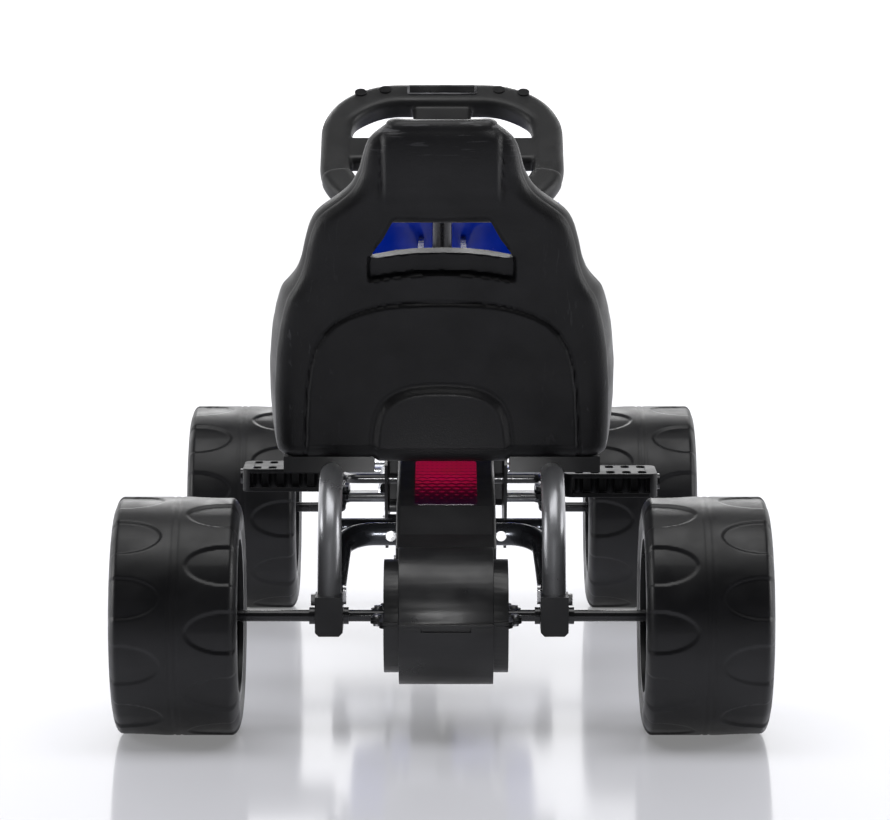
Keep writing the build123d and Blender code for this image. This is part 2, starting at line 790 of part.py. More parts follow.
arm_bottom = sleeve_top + clearance
arm_thickness = 4.0
stub_end = front_wheel_x + 54
for side, word in ((-1, "left"), (1, "right")):
    pin_x = side * kingpin_x
    with BuildPart() as knuckle:
        with BuildSketch(hub_plane(pin_x, front_y, axle_z, side)):
            Circle(axle_radius)
        extrude(amount=stub_end - kingpin_x)
        with Locations((pin_x, front_y, axle_z)):
            Sphere(axle_radius)
        with BuildSketch(hub_plane(side * (front_wheel_x - 41.5 - clearance), front_y, axle_z, -side)):
            Circle(axle_radius + 4)
        extrude(amount=4)
        with BuildSketch(Plane.XY.offset(axle_z)):
            with Locations((pin_x, front_y)):
                Circle(axle_radius)
        extrude(amount=arm_bottom + 20 - axle_z)
        with BuildSketch(Plane.XY.offset(arm_bottom)):
            with Locations((pin_x, front_y - steering_arm / 2)):
                SlotCenterToCenter(steering_arm, 20, rotation=90)
        extrude(amount=arm_thickness)
        with BuildSketch(Plane.XY.offset(tie_z - tie_rod_radius - 6)):
            with Locations((pin_x, front_y - steering_arm)):
                Circle(3)
        extrude(amount=arm_bottom - tie_z + tie_rod_radius + 6)
        with BuildSketch(Plane.XY.offset(tie_z - tie_rod_radius - 6)):
            with Locations((pin_x, front_y - steering_arm)):
                RegularPolygon(7, 6)
        extrude(amount=4.2)
    save(knuckle, f"knuckle_{word}")

    with BuildPart() as nuts:
        with BuildSketch(Plane.XY.offset(arm_bottom + arm_thickness)):
            with Locations((pin_x, front_y)):
                RegularPolygon(10, 6)
                Circle(axle_radius, mode=Mode.SUBTRACT)
        extrude(amount=14)
        with BuildSketch(hub_plane(side * (front_wheel_x + 47.5 + clearance), front_y, axle_z, side)):
            RegularPolygon(9, 6)
            Circle(axle_radius, mode=Mode.SUBTRACT)
        extrude(amount=5)
    save(nuts, f"front_nuts_{word}")

    inner = Vector(side * tie_spread, tie_pivot.Y, tie_pivot.Z)
    outer = Vector(pin_x, front_y - steering_arm, tie_z)
    eye_radius = 6.5
    eye_half = tie_rod_radius - 0.6
    with BuildPart() as tie_rod:
        add(rod(inner, outer, tie_rod_radius))
        with BuildSketch(Plane(origin=inner, x_dir=(1, 0, 0), z_dir=column_axis)):
            Circle(eye_radius)
        extrude(amount=eye_half, both=True)
        with BuildSketch(Plane(origin=outer)):
            Circle(3 + loose_gap + 4)
        extrude(amount=eye_half, both=True)
        with BuildSketch(Plane(origin=inner, x_dir=(1, 0, 0), z_dir=column_axis)):
            Circle(3 + running_gap)
        extrude(amount=2 * eye_radius, both=True, mode=Mode.SUBTRACT)
        with BuildSketch(Plane(origin=outer)):
            Circle(3 + loose_gap)
        extrude(amount=2 * eye_radius, both=True, mode=Mode.SUBTRACT)
    save(tie_rod, f"tie_rod_{word}")

pitman_along = pitman_lift
sleeve_start = column_start + column_length + 4
with BuildPart() as steering_shaft:
    with BuildSketch(column_plane(pitman_along - 4)):
        Circle(shaft_radius)
    extrude(amount=wheel_along - pitman_along + 4)
    with BuildSketch(column_plane(sleeve_start)):
        Circle(column_radius - 0.5)
    extrude(amount=wheel_along - ring_thickness / 2 - sleeve_start)
    with BuildSketch(column_plane(pitman_along - 2.5)):
        Circle(11)
        with Locations((0, -steering_arm)):
            SlotCenterToCenter(2 * tie_spread, 15)
        with BuildLine():
            Polyline(
                (-10, 0), (10, 0), (tie_spread + 2, -steering_arm), (-tie_spread - 2, -steering_arm),
                close=True,
            )
        make_face()
    extrude(amount=5)
    for side in (-1, 1):
        pin_plane = column_plane(pitman_along - 2.5)
        with BuildSketch(pin_plane):
            with Locations((side * tie_spread, -steering_arm)):
                Circle(3)
        extrude(amount=-2 * tie_rod_radius - 2 * clearance - 2)
        with BuildSketch(pin_plane.offset(-2 * tie_rod_radius - 2 * clearance)):
            with Locations((side * tie_spread, -steering_arm)):
                Circle(5.5)
        extrude(amount=-2)
save(steering_shaft, "steering_shaft")

gusset_points = [
    (front_y + 9, axle_bar_top_z), (front_y + 9, on_column(-8, 12.5).Z),
    (on_column(16, 12.5).Y, on_column(16, 12.5).Z), (on_column(18, 5).Y, on_column(18, 5).Z),
    (on_column(84, 5).Y, on_column(84, 5).Z), (on_column(84, 16).Y, on_column(84, 16).Z),
    (front_y + 20, on_column(-4, 20).Z), (front_y + 20, axle_bar_top_z),
]
with BuildPart() as column_tube:
    for side in (-1, 1):
        with BuildSketch(side_plane(side * 7.5)):
            Polygon(*gusset_points, align=None)
        extrude(amount=side * 3)
    with BuildSketch(column_plane(column_start)):
        Circle(column_radius)
    extrude(amount=column_length)
    with BuildSketch(column_plane(column_start - 1)):
        Circle(column_radius - 2)
    extrude(amount=column_length + 2, mode=Mode.SUBTRACT)
save(column_tube, "column_tube")

with BuildPart() as column_bushes:
    for start in (column_start, column_start + column_length - 22):
        with BuildSketch(column_plane(start)):
            Circle(column_radius - 2)
            Circle(shaft_radius + running_gap, mode=Mode.SUBTRACT)
        extrude(amount=22)
save(column_bushes, "column_bushes")


# Heights of the rim's middle above and below the hub, where its blocks end.
ring_top = ring_raise + (steering_height - ring_width) / 2
ring_low = ring_raise - (steering_height - ring_width) / 2
top_block_width = 59.0
bottom_block_width = 40.0


def wheel_outline(grow):
    """Steering wheel's rounded outline, nearer to the hub at its bottom."""
    half_w = steering_width / 2 + grow
    half_h = steering_height / 2 + grow
    with BuildSketch(Plane.XY) as outline:
        with Locations((0, ring_raise)):
            RectangleRounded(2 * half_w, 2 * half_h, 84 + grow)
    return outline.sketch


def make_steering_wheel():
    """Rim, hub, two side spokes and the top and bottom blocks, in one moulding."""
    with BuildPart() as wheel:
        with BuildSketch():
            add(wheel_outline(0))
            add(wheel_outline(-ring_width), mode=Mode.SUBTRACT)
            Circle(steering_hub_radius)
            Rectangle(steering_width - ring_width, 42)
            with Locations((0, ring_top / 2)):
                Rectangle(top_block_width, ring_top)
            with Locations((0, ring_low / 2)):
                Rectangle(bottom_block_width, -ring_low)
        extrude(amount=ring_thickness / 2, both=True)
        ends = wheel.faces().filter_by(Axis.Z).edges()
        fillet(ends, radius=5)
        with BuildSketch(Plane.XY.offset(-ring_thickness)):
            Circle(shaft_radius)
        extrude(amount=ring_thickness + 8, mode=Mode.SUBTRACT)
    return wheel.part


steering_plane = column_plane(wheel_along)
place(make_steering_wheel(), steering_plane, "steering_wheel")

with BuildPart() as badge_master:
    with BuildSketch(Plane.XY.offset(ring_thickness / 2)):
        with Locations((0, ring_top)):
            RectangleRounded(74, 17, 4)
    extrude(amount=1.6)
place(badge_master.part, steering_plane, "wheel_badge")

with BuildPart() as plug_master:
    with BuildSketch(Plane.XY.offset(ring_thickness / 2)):
        with Locations((-86, ring_top - 5), (-60, ring_top), (60, ring_top), (86, ring_top - 5)):
            Circle(6.2)
    extrude(amount=2)
place(plug_master.part, steering_plane, "wheel_plugs")

# ================================================================== drive covers
axle_line = (rear_y, axle_z)
beam_face_x = beam_x - beam_width / 2
cover_screw_spots = [(ahead(90), beam_z), (ahead(240), beam_z)]
cowl_screw_spots = [(crank_y - 66, beam_z), (crank_y + 56, beam_z - 4)]
case_screw_spots = [
    (drive_x + side * (drum_half_width + 6), rear_y + way * 24) for side in (-1, 1) for way in (-1, 1)
]
screw_radius = 2.0


def screw_bosses(spots, half_width):
    """Bosses that carry a cover's left wall on the side of the main beam, with screw holes."""
    wall_x = drive_x - half_width
    with BuildPart() as bosses:
        with BuildSketch(side_plane(wall_x + cover_wall)):
            with Locations(*spots):
                Circle(6)
        extrude(amount=beam_face_x - wall_x - cover_wall)
    return bosses.part


def screw_holes(spots, half_width):
    """Holes through a cover's left wall and its bosses."""
    wall_x = drive_x - half_width
    with BuildPart() as holes:
        with BuildSketch(side_plane(wall_x - 1)):
            with Locations(*spots):
                Circle(screw_radius)
        extrude(amount=beam_face_x - wall_x + 1)
    return holes.part


def case_body(shrink, low, high):
    """Half of the round gear case, its drums and its ends, between two heights."""
    with BuildPart() as body:
        for radius, half in (
            (case_radius, case_half_width), (drum_radius, drum_half_width),
        ):
            with BuildSketch(side_plane(drive_x - half + shrink)):
                with Locations(axle_line):
                    Circle(radius - shrink)
            extrude(amount=2 * (half - shrink))
        with Locations((drive_x, rear_y, (low + high) / 2)):
            Box(400, 400, high - low, mode=Mode.INTERSECT)
    return body.part


def case_half(low, high, flange_z):
    """One shell of the gear case, open at its seam, with a seam flange."""
    with BuildPart() as half:
        add(case_body(0, low, high))
        with BuildSketch(Plane.XY.offset(flange_z)):
            with Locations((drive_x, rear_y)):
                RectangleRounded(2 * flange_half_width, 2 * case_radius - 16, 8)
                Rectangle(2 * case_half_width, 2 * case_radius + 6)
            with Locations(*case_screw_spots):
                Circle(6.5)
        extrude(amount=3)
        add(case_body(cover_wall, low - 1, high + 1), mode=Mode.SUBTRACT)
        with BuildSketch(side_plane(drive_x - 100)):
            with Locations(axle_line):
                Circle(axle_radius + 2)
        extrude(amount=200, mode=Mode.SUBTRACT)
        with BuildSketch(Plane.XY.offset(low)):
            with Locations(*case_screw_spots):
                Circle(screw_radius)
        extrude(amount=high - low, mode=Mode.SUBTRACT)
    return half.part


with BuildPart() as beam_envelope:
    with BuildSketch(side_plane(beam_face_x)):
        Polygon(*strip_outline(beam_line, beam_height), align=None)
    extrude(amount=beam_width)

with BuildPart() as gear_case_upper:
    add(case_half(axle_z, axle_z + case_radius, axle_z))
    add(beam_envelope.part, mode=Mode.SUBTRACT)
    with Locations((chain_x, ahead(case_radius), axle_z + 40)):
        Box(14, 84, 60, mode=Mode.SUBTRACT)
save(gear_case_upper, "gear_case_upper")

with BuildPart() as gear_case_lower:
    add(case_half(axle_z - case_radius, axle_z, axle_z - 3))
    with Locations((chain_x, ahead(case_radius), axle_z - 36)):
        Box(13, 40, 34, mode=Mode.SUBTRACT)
    with Locations((drive_x, rear_y - case_radius - 1, axle_z - 1.5)):
        Box(46, 7, 6, mode=Mode.SUBTRACT)
save(gear_case_lower, "gear_case_lower")

cover_end = pan_front_ahead + 12
cover_slope = 0.17
cover_knee = 95.0
cover_knee_rise = 89.5


def cover_top(distance):
    """Rise of the chain cover's sloping top at this distance ahead."""
    return cover_knee_rise + (distance - cover_knee) * cover_slope


def make_chain_cover():
    """Channel over the chain and beam, open below, cut round the gear case and the tubes."""
    width = cover_half_width
    outline = [
        (ahead(18), axle_z + case_radius - 2), (ahead(52), axle_z + case_radius + 5),
        (ahead(cover_knee), axle_z + cover_knee_rise), (ahead(cover_end), axle_z + cover_top(cover_end)),
        (ahead(cover_end), axle_z - 14), (ahead(60), axle_z - 46), (ahead(30), axle_z - 20),
    ]
    inner = [
        (ahead(18), axle_z + case_radius - 5), (ahead(53), axle_z + case_radius + 2),
        (ahead(cover_knee + 1), axle_z + cover_knee_rise - 3.2),
        (ahead(cover_end + 1), axle_z + cover_top(cover_end) - 3.2),
        (ahead(cover_end + 1), axle_z - 60), (ahead(10), axle_z - 60), (ahead(10), axle_z),
    ]
    with BuildPart() as core:
        with BuildSketch(side_plane(drive_x - width + cover_wall)):
            Polygon(*inner, align=None)
        extrude(amount=2 * (width - cover_wall))
    with BuildPart() as cover:
        with BuildSketch(side_plane(drive_x - width)):
            Polygon(*outline, align=None)
        extrude(amount=2 * width)
        sides = cover.faces().filter_by(Axis.X).edges().filter_by(lambda e: e.center().Z > axle_z + 40)
        slopes = sides.filter_by(lambda e: abs(e.tangent_at(0.5).Y) > 0.7)
        fillet(slopes, radius=4)
        add(core.part, mode=Mode.SUBTRACT)
        add(screw_bosses(cover_screw_spots, width))
        with BuildSketch(side_plane(drive_x - 2 * width)):
            with Locations(axle_line):
                Circle(case_radius)
        extrude(amount=4 * width, mode=Mode.SUBTRACT)
        with BuildSketch(side_plane(drive_x - 2 * width)):
            with Locations((ahead(stay_ahead), stay_z)):
                Circle(tube_radius + 1)
            with Locations((ahead(cross_bar_ahead), cross_bar_z)):
                Circle(cross_bar_radius + 1)
        extrude(amount=4 * width, mode=Mode.SUBTRACT)
        add(screw_holes(cover_screw_spots, width), mode=Mode.SUBTRACT)
    return cover


save(make_chain_cover(), "chain_cover")

# The slopes of the chain cover's top set the decal's plane.
slope_angle = math.atan(cover_slope)
decal_middle = 168.0
decal_length = 138.0
decal_plane = Plane(
    origin=(drive_x, ahead(decal_middle), axle_z + cover_top(decal_middle)),
    x_dir=(1, 0, 0), z_dir=(0, -math.sin(slope_angle), math.cos(slope_angle)),
)
with BuildPart() as cover_decal:
    with BuildSketch(decal_plane):
        RectangleRounded(60, decal_length, 4)
    extrude(amount=0.5)
save(cover_decal, "cover_decal")

cowl_top = crank_z + front_pitch_radius + chain_half_height + chain_room
cowl_points = [
    (ahead(pan_front_ahead + 3), axle_z + 100), (ahead(pan_front_ahead + 5), seat_z - 7),
    (crank_y - 34, cowl_top), (crank_y + 26, cowl_top), (crank_y + 92, crank_z + 22),
    (crank_y + 98, crank_z - 34), (crank_y + 56, crank_z - 68), (crank_y - 42, crank_z - 66),
    (ahead(pan_front_ahead + 26), axle_z + 44),
]


def make_cowl():
    """Wide hood over the chainring and crank, open below and behind."""
    inner = []
    for y, z in cowl_points:
        inner.append((y, z))
    inner[1] = (inner[1][0] - 10, inner[1][1] - cover_wall)
    inner[0] = (inner[0][0] - 10, inner[0][1])
    inner[2] = (inner[2][0] + 0.5, inner[2][1] - cover_wall)
    inner[3] = (inner[3][0] - 1.5, inner[3][1] - cover_wall)
    inner[4] = (inner[4][0] - 3.2, inner[4][1] - 1)
    inner[5] = (inner[5][0] - 3.2, inner[5][1] - 1)
    inner[6] = (inner[6][0], inner[6][1] - 10)
    inner[7] = (inner[7][0], inner[7][1] - 10)
    inner[8] = (inner[8][0] - 12, inner[8][1] - 12)
    width = cowl_half_width
    with BuildPart() as core:
        with BuildSketch(side_plane(drive_x - width + cover_wall)):
            Polygon(*inner, align=None)
        extrude(amount=2 * (width - cover_wall))
    with BuildPart() as cowl:
        with BuildSketch(side_plane(drive_x - width)):
            Polygon(*cowl_points, align=None)
        extrude(amount=2 * width)
        sides = cowl.faces().filter_by(Axis.X).edges()
        upper = sides.filter_by(lambda e: e.center().Z > crank_z + 40 and abs(e.tangent_at(0.5).Y) > 0.5)
        fillet(upper, radius=6)
        add(core.part, mode=Mode.SUBTRACT)
        add(screw_bosses(cowl_screw_spots, width))
        with BuildSketch(side_plane(drive_x - 2 * width)):
            with Locations((crank_y, crank_z)):
                Circle(crank_rod_radius + 3)
        extrude(amount=4 * width, mode=Mode.SUBTRACT)
        add(beam_envelope.part, mode=Mode.SUBTRACT)
        add(screw_holes(cowl_screw_spots, width), mode=Mode.SUBTRACT)
    return cowl


save(make_cowl(), "crank_cowl")

with BuildPart() as cover_screws:
    for spots, half_width in ((cover_screw_spots, cover_half_width), (cowl_screw_spots, cowl_half_width)):
        wall_x = drive_x - half_width
        with BuildSketch(side_plane(wall_x)):
            with Locations(*spots):
                Circle(screw_radius)
        extrude(amount=beam_face_x - wall_x)
        with BuildSketch(side_plane(wall_x)):
            with Locations(*spots):
                Circle(4.5)
        extrude(amount=-2.4)
    with BuildSketch(Plane.XY.offset(axle_z - 3)):
        with Locations(*case_screw_spots):
            Circle(screw_radius)
    extrude(amount=6)
    for face, way in ((axle_z + 3, 1), (axle_z - 3, -1)):
        with BuildSketch(Plane.XY.offset(face)):
            with Locations(*case_screw_spots):
                Circle(3.8)
        extrude(amount=2.4 * way)
save(cover_screws, "cover_screws")

# ================================================================== front fairing and bumper
fairing_bottom = axle_z + fairing_bottom_rise
fairing_top = axle_z + fairing_top_rise
fairing_levels = [
    # height, half width, front, start of the side flats
    (fairing_bottom, 100.0, front_y + 145, front_y + 70),
    ((fairing_bottom + fairing_top) / 2, 113.0, front_y + 92, front_y + 8),
    (fairing_top, 126.0, front_y + 4, front_y - 88),
]


def fairing_volume(shrink):
    """Solid that the fairing's outer or inner skin bounds."""
    with BuildPart() as volume:
        for height, half, front, flat in fairing_levels:
            half -= shrink
            with BuildSketch(Plane.XY.offset(height)):
                with BuildLine():
                    ThreePointArc((-half, flat), (0, front - shrink), (half, flat))
                    Line((half, flat), (half, front_y - 220))
                    Line((half, front_y - 220), (-half, front_y - 220))
                    Line((-half, front_y - 220), (-half, flat))
                make_face()
        loft()
    return volume.part


fairing_inside = fairing_volume(fairing_wall)
with BuildPart() as front_fairing:
    add(fairing_volume(0))
    add(fairing_inside, mode=Mode.SUBTRACT)
    with BuildSketch(side_plane(-200)):
        Polygon(
            (front_y + 62, fairing_bottom - 1), (front_y - 98, fairing_top - 16),
            (front_y - 92, fairing_top + 1), (front_y + 200, fairing_top + 1),
            (front_y + 200, fairing_bottom - 1), align=None,
        )
    extrude(amount=400, mode=Mode.INTERSECT)
    with BuildSketch(Plane.XZ.offset(-front_y - 100)):
        Polygon(
            (-98, fairing_top + 1), (-64, fairing_top - 24), (64, fairing_top - 24),
            (98, fairing_top + 1), align=None,
        )
    extrude(amount=400, mode=Mode.SUBTRACT)
save(front_fairing, "front_fairing")

clamp_along = column_start + column_length - 16
clamp_spot = on_column(clamp_along + 6)
clamp_screw_x = 23.0
with BuildPart() as clamp_arms:
    for side in (-1, 1):
        with Locations((side * clamp_screw_x, clamp_spot.Y + 100, clamp_spot.Z)):
            Box(6, 200, 14)
with BuildPart() as trimmed_arms:
    add(clamp_arms.part)
    add(fairing_inside, mode=Mode.INTERSECT)
with BuildPart() as column_clamp:
    with BuildSketch(column_plane(clamp_along)):
        Circle(column_radius + 4)
        Rectangle(2 * clamp_screw_x + 16, 12)
        Circle(column_radius, mode=Mode.SUBTRACT)
    extrude(amount=12)
    add(trimmed_arms.part)
    with BuildSketch(column_plane(clamp_along - 20)):
        Circle(column_radius)
    extrude(amount=60, mode=Mode.SUBTRACT)
    for side in (-1, 1):
        with Locations((side * clamp_screw_x, clamp_spot.Y, clamp_spot.Z)):
            Cylinder(3, 40, rotation=(90, 0, 0), mode=Mode.SUBTRACT)
save(column_clamp, "column_clamp")

with BuildPart() as clamp_screws:
    for side in (-1, 1):
        spot = (side * clamp_screw_x, clamp_spot.Y, clamp_spot.Z)
        with Locations(spot):
            Cylinder(3, 40, rotation=(90, 0, 0))
        with Locations((spot[0], spot[1] - 20, spot[2])):
            Cylinder(5, 4, rotation=(90, 0, 0))
save(clamp_screws, "clamp_screws")

bumper_y = front_y + front_overhang - bumper_radius
leg_start = front_y + axle_bar_depth / 2
with BuildPart() as front_bumper:
    bar_ends = ((-bumper_half_length, bumper_y, bumper_z), (bumper_half_length, bumper_y, bumper_z))
    add(rod(*bar_ends, bumper_radius))
    for side in (-1, 1):
        x = side * bumper_leg_x
        add(rod((x, leg_start, bumper_z), (x, bumper_y, bumper_z), bumper_leg_radius))
        with Locations((x, front_y + 110, (bumper_z + fairing_bottom) / 2)):
            Box(5, 20, fairing_bottom - bumper_z)
    for side in (-1, 1):
        x = side * bumper_leg_x
        inner_end = (x, bumper_y - bumper_radius / 2, bumper_z)
        bore = rod((x, leg_start - 1, bumper_z), inner_end, bumper_leg_radius - 2)
        add(bore, mode=Mode.SUBTRACT)
    core = rod(
        (-bumper_half_length - 1, bumper_y, bumper_z), (bumper_half_length + 1, bumper_y, bumper_z),
        bumper_radius - 2,
    )
    add(core, mode=Mode.SUBTRACT)
with BuildPart() as fairing_tabs:
    for side in (-1, 1):
        with Locations((side * bumper_leg_x, front_y + 115, fairing_bottom + 9)):
            Box(5, 30, 18)
    add(fairing_inside, mode=Mode.INTERSECT)
with BuildPart() as bumper_with_tabs:
    add(front_bumper.part)
    add(fairing_tabs.part)
save(bumper_with_tabs, "front_bumper")

# ================================================================== seat
back_plane = Plane(
    origin=(0, ahead(seat_back_ahead), seat_z), x_dir=(1, 0, 0),
    z_dir=(0, -math.cos(recline), -math.sin(recline)),
)


def back_outline():
    """Half of the seat back's outline, waisted below the headrest."""
    with BuildLine() as half:
        Line((0, 0), (seat_half_width - 14, 0))
        TangentArc(
            (seat_half_width - 14, 0), (seat_half_width, 16), tangent=(1, 0.1)
        )
        Line((seat_half_width, 16), (seat_half_width, 68))
        Spline(
            (seat_half_width, 68), (seat_half_width - 8, 136), (133, 190), (121, 232), (84, 270),
            (68, 312), (46, seat_back_length - 3), tangents=((0, 1), (-1, 0.5)),
        )
        Line((46, seat_back_length - 3), (0, seat_back_length))
    return half.line


# The side walls follow the back's outline from above and stand on the pan all the way forward.
back_corner = 16.0
prism_drop = 80.0
with BuildPart() as back_prism:
    with BuildSketch(back_plane):
        with BuildLine():
            add(back_outline())
            mirror(about=Plane.YZ)
        make_face()
        with Locations((0, -prism_drop / 2)):
            Rectangle(2 * seat_half_width, prism_drop + 2 * back_corner)
    extrude(amount=-260)
with BuildPart() as side_walls:
    for side in (-1, 1):
        with BuildSketch(side_plane(side * (seat_half_width - bolster_wall))):
            Polygon(
                (ahead(seat_back_ahead + 2), seat_z), (ahead(pan_front_ahead), seat_z),
                (ahead(pan_front_ahead), seat_z + 14), (ahead(pan_front_ahead - 50), seat_z + 46),
                (ahead(seat_back_ahead + 86), seat_z + 76), (ahead(seat_back_ahead + 30), seat_z + 156),
                (ahead(seat_back_ahead - 30), seat_z + 190), (ahead(seat_back_ahead - 56), seat_z + 190),
                align=None,
            )
        extrude(amount=side * bolster_wall)
    add(back_prism.part, mode=Mode.INTERSECT)

with BuildPart() as seat_shell:
    with BuildSketch(back_plane):
        with BuildLine():
            add(back_outline())
            mirror(about=Plane.YZ)
        make_face()
        with Locations((0, 222)):
            Trapezoid(136, 38, 62, mode=Mode.SUBTRACT)
    extrude(amount=-seat_wall)
    add(side_walls.part)
    with BuildSketch(Plane.XY.offset(seat_z)):
        with Locations((0, (ahead(seat_back_ahead + 3) + ahead(pan_front_ahead)) / 2)):
            Rectangle(2 * (seat_half_width - bolster_wall) + 4, pan_front_ahead - seat_back_ahead - 3)
    extrude(amount=seat_wall)
    add(bolt_holes.part, mode=Mode.SUBTRACT)
save(seat_shell, "seat_shell")

mount_depth = 36.0
with BuildPart() as seat_mounts:
    for side in (-1, 1):
        for index, (x, distance) in enumerate(seat_bolt_spots):
            wide = 87.0 if index == 0 else 40.0
            middle = 108.5 if index == 0 else x
            with Locations((side * middle, ahead(distance), seat_z - 7.5)):
                Box(wide, mount_depth, 15)
        path_start = (side * tube_x, ahead(0), seat_tube_z)
        tube_bar = rod(path_start, (side * tube_x, ahead(400), seat_tube_z), tube_radius)
        add(tube_bar, mode=Mode.SUBTRACT)
        rising = bent_tube(
            [
                (side * tube_x, ahead(4), block_top_z - 10), (side * tube_x, ahead(42), seat_tube_z),
                (side * tube_x, ahead(pan_front_ahead - 12), seat_tube_z),
            ],
            84, tube_radius, 0,
        )
        add(rising, mode=Mode.SUBTRACT)
    add(bolt_holes.part, mode=Mode.SUBTRACT)
save(seat_mounts, "seat_mounts")

with BuildPart() as seat_bolts:
    for side in (-1, 1):
        for x, distance in seat_bolt_spots:
            with BuildSketch(Plane.XY.offset(seat_tube_z + tube_radius - tube_wall)):
                with Locations((side * x, ahead(distance))):
                    Circle(seat_bolt_radius)
            extrude(amount=seat_z + seat_wall - seat_tube_z - tube_radius + tube_wall)
            with BuildSketch(Plane.XY.offset(seat_z + seat_wall)):
                with Locations((side * x, ahead(distance))):
                    Circle(seat_bolt_head)
            extrude(amount=-seat_bolt_head_depth)
save(seat_bolts, "seat_bolts")
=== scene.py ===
"""Looks of the pedal go kart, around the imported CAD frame.  Metres; +Y forward, +Z up."""
import bpy
import bmesh
import json
import math
import numpy as np
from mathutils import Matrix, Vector

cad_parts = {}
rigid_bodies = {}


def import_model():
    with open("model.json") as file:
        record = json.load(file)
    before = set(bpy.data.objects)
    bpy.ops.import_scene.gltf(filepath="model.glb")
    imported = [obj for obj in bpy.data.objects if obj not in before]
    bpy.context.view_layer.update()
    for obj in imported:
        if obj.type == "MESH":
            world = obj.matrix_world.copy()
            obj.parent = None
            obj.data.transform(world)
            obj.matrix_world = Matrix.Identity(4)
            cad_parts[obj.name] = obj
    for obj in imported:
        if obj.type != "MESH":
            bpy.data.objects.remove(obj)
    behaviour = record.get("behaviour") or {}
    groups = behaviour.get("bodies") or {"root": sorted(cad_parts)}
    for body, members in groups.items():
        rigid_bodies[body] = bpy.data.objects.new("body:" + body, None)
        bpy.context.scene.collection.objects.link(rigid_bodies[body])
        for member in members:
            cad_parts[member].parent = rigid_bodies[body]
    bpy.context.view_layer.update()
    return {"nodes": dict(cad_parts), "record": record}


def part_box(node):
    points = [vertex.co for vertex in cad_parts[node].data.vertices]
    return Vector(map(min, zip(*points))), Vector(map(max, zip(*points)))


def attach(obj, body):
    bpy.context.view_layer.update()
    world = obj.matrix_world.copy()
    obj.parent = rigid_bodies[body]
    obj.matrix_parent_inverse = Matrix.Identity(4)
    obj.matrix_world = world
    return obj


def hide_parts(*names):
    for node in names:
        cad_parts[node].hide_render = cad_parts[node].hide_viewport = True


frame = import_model()
nodes = frame["nodes"]
scene = bpy.context.scene


# ------------------------------------------------------------------ materials
class Finish:
    """A principled material with procedural grain, patches and wear."""

    def __init__(self, name, color, roughness, metallic=0.0, coat=0.0, specular=0.5):
        self.name = name
        self.material = bpy.data.materials.new(name)
        self.material.use_nodes = True
        self.tree = self.material.node_tree
        self.shader = self.tree.nodes["Principled BSDF"]
        self.color = (*color, 1.0)
        self.shader.inputs["Base Color"].default_value = self.color
        self.shader.inputs["Roughness"].default_value = roughness
        self.shader.inputs["Metallic"].default_value = metallic
        self.shader.inputs["Specular IOR Level"].default_value = specular
        if coat:
            self.shader.inputs["Coat Weight"].default_value = coat
            self.shader.inputs["Coat Roughness"].default_value = 0.08
        self.coords = self.tree.nodes.new("ShaderNodeTexCoord").outputs["Object"]
        self.normal = None

    def link(self, a, b):
        self.tree.links.new(a, b)

    def stretched(self, scale):
        node = self.tree.nodes.new("ShaderNodeMapping")
        node.inputs["Scale"].default_value = scale
        self.link(self.coords, node.inputs["Vector"])
        return node.outputs["Vector"]

    def noise(self, scale, detail=3.0, stretch=None, distortion=0.0):
        node = self.tree.nodes.new("ShaderNodeTexNoise")
        node.inputs["Scale"].default_value = scale
        node.inputs["Detail"].default_value = detail
        node.inputs["Distortion"].default_value = distortion
        self.link(self.stretched(stretch) if stretch else self.coords, node.inputs["Vector"])
        return node.outputs["Fac"]

    def cells(self, scale):
        node = self.tree.nodes.new("ShaderNodeTexVoronoi")
        node.inputs["Scale"].default_value = scale
        self.link(self.coords, node.inputs["Vector"])
        return node.outputs["Distance"]

    def remap(self, value, low, high, to_low=0.0, to_high=1.0):
        node = self.tree.nodes.new("ShaderNodeMapRange")
        for key, number in (("From Min", low), ("From Max", high), ("To Min", to_low), ("To Max", to_high)):
            node.inputs[key].default_value = number
        self.link(value, node.inputs["Value"])
        return node.outputs["Result"]

    def math(self, operation, a, b=None):
        node = self.tree.nodes.new("ShaderNodeMath")
        node.operation = operation
        for index, value in enumerate((a, b)):
            if value is None:
                continue
            if isinstance(value, (int, float)):
                node.inputs[index].default_value = value
            else:
                self.link(value, node.inputs[index])
        return node.outputs[0]

    def axis(self, letter):
        node = self.tree.nodes.new("ShaderNodeSeparateXYZ")
        self.link(self.coords, node.inputs[0])
        return node.outputs[letter]

    def tint(self, factor, color):
        """Blend the base colour towards another one by a factor output."""
        node = self.tree.nodes.new("ShaderNodeMix")
        node.data_type = "RGBA"
        socket = self.shader.inputs["Base Color"]
        if socket.is_linked:
            self.link(socket.links[0].from_socket, node.inputs["A"])
        else:
            node.inputs["A"].default_value = self.color
        node.inputs["B"].default_value = (*color, 1.0)
        self.link(factor, node.inputs["Factor"])
        self.link(node.outputs["Result"], socket)

    def rough(self, factor, low, high):
        """Roughness follows a factor output between two values."""
        self.link(self.remap(factor, 0.3, 0.7, low, high), self.shader.inputs["Roughness"])

    def bump(self, height, distance, strength=1.0):
        """Add a bump layer; distance is the real height in metres."""
        node = self.tree.nodes.new("ShaderNodeBump")
        node.inputs["Distance"].default_value = distance
        node.inputs["Strength"].default_value = strength
        self.link(height, node.inputs["Height"])
        if self.normal is not None:
            self.link(self.normal, node.inputs["Normal"])
        self.normal = node.outputs["Normal"]
        self.link(self.normal, self.shader.inputs["Normal"])


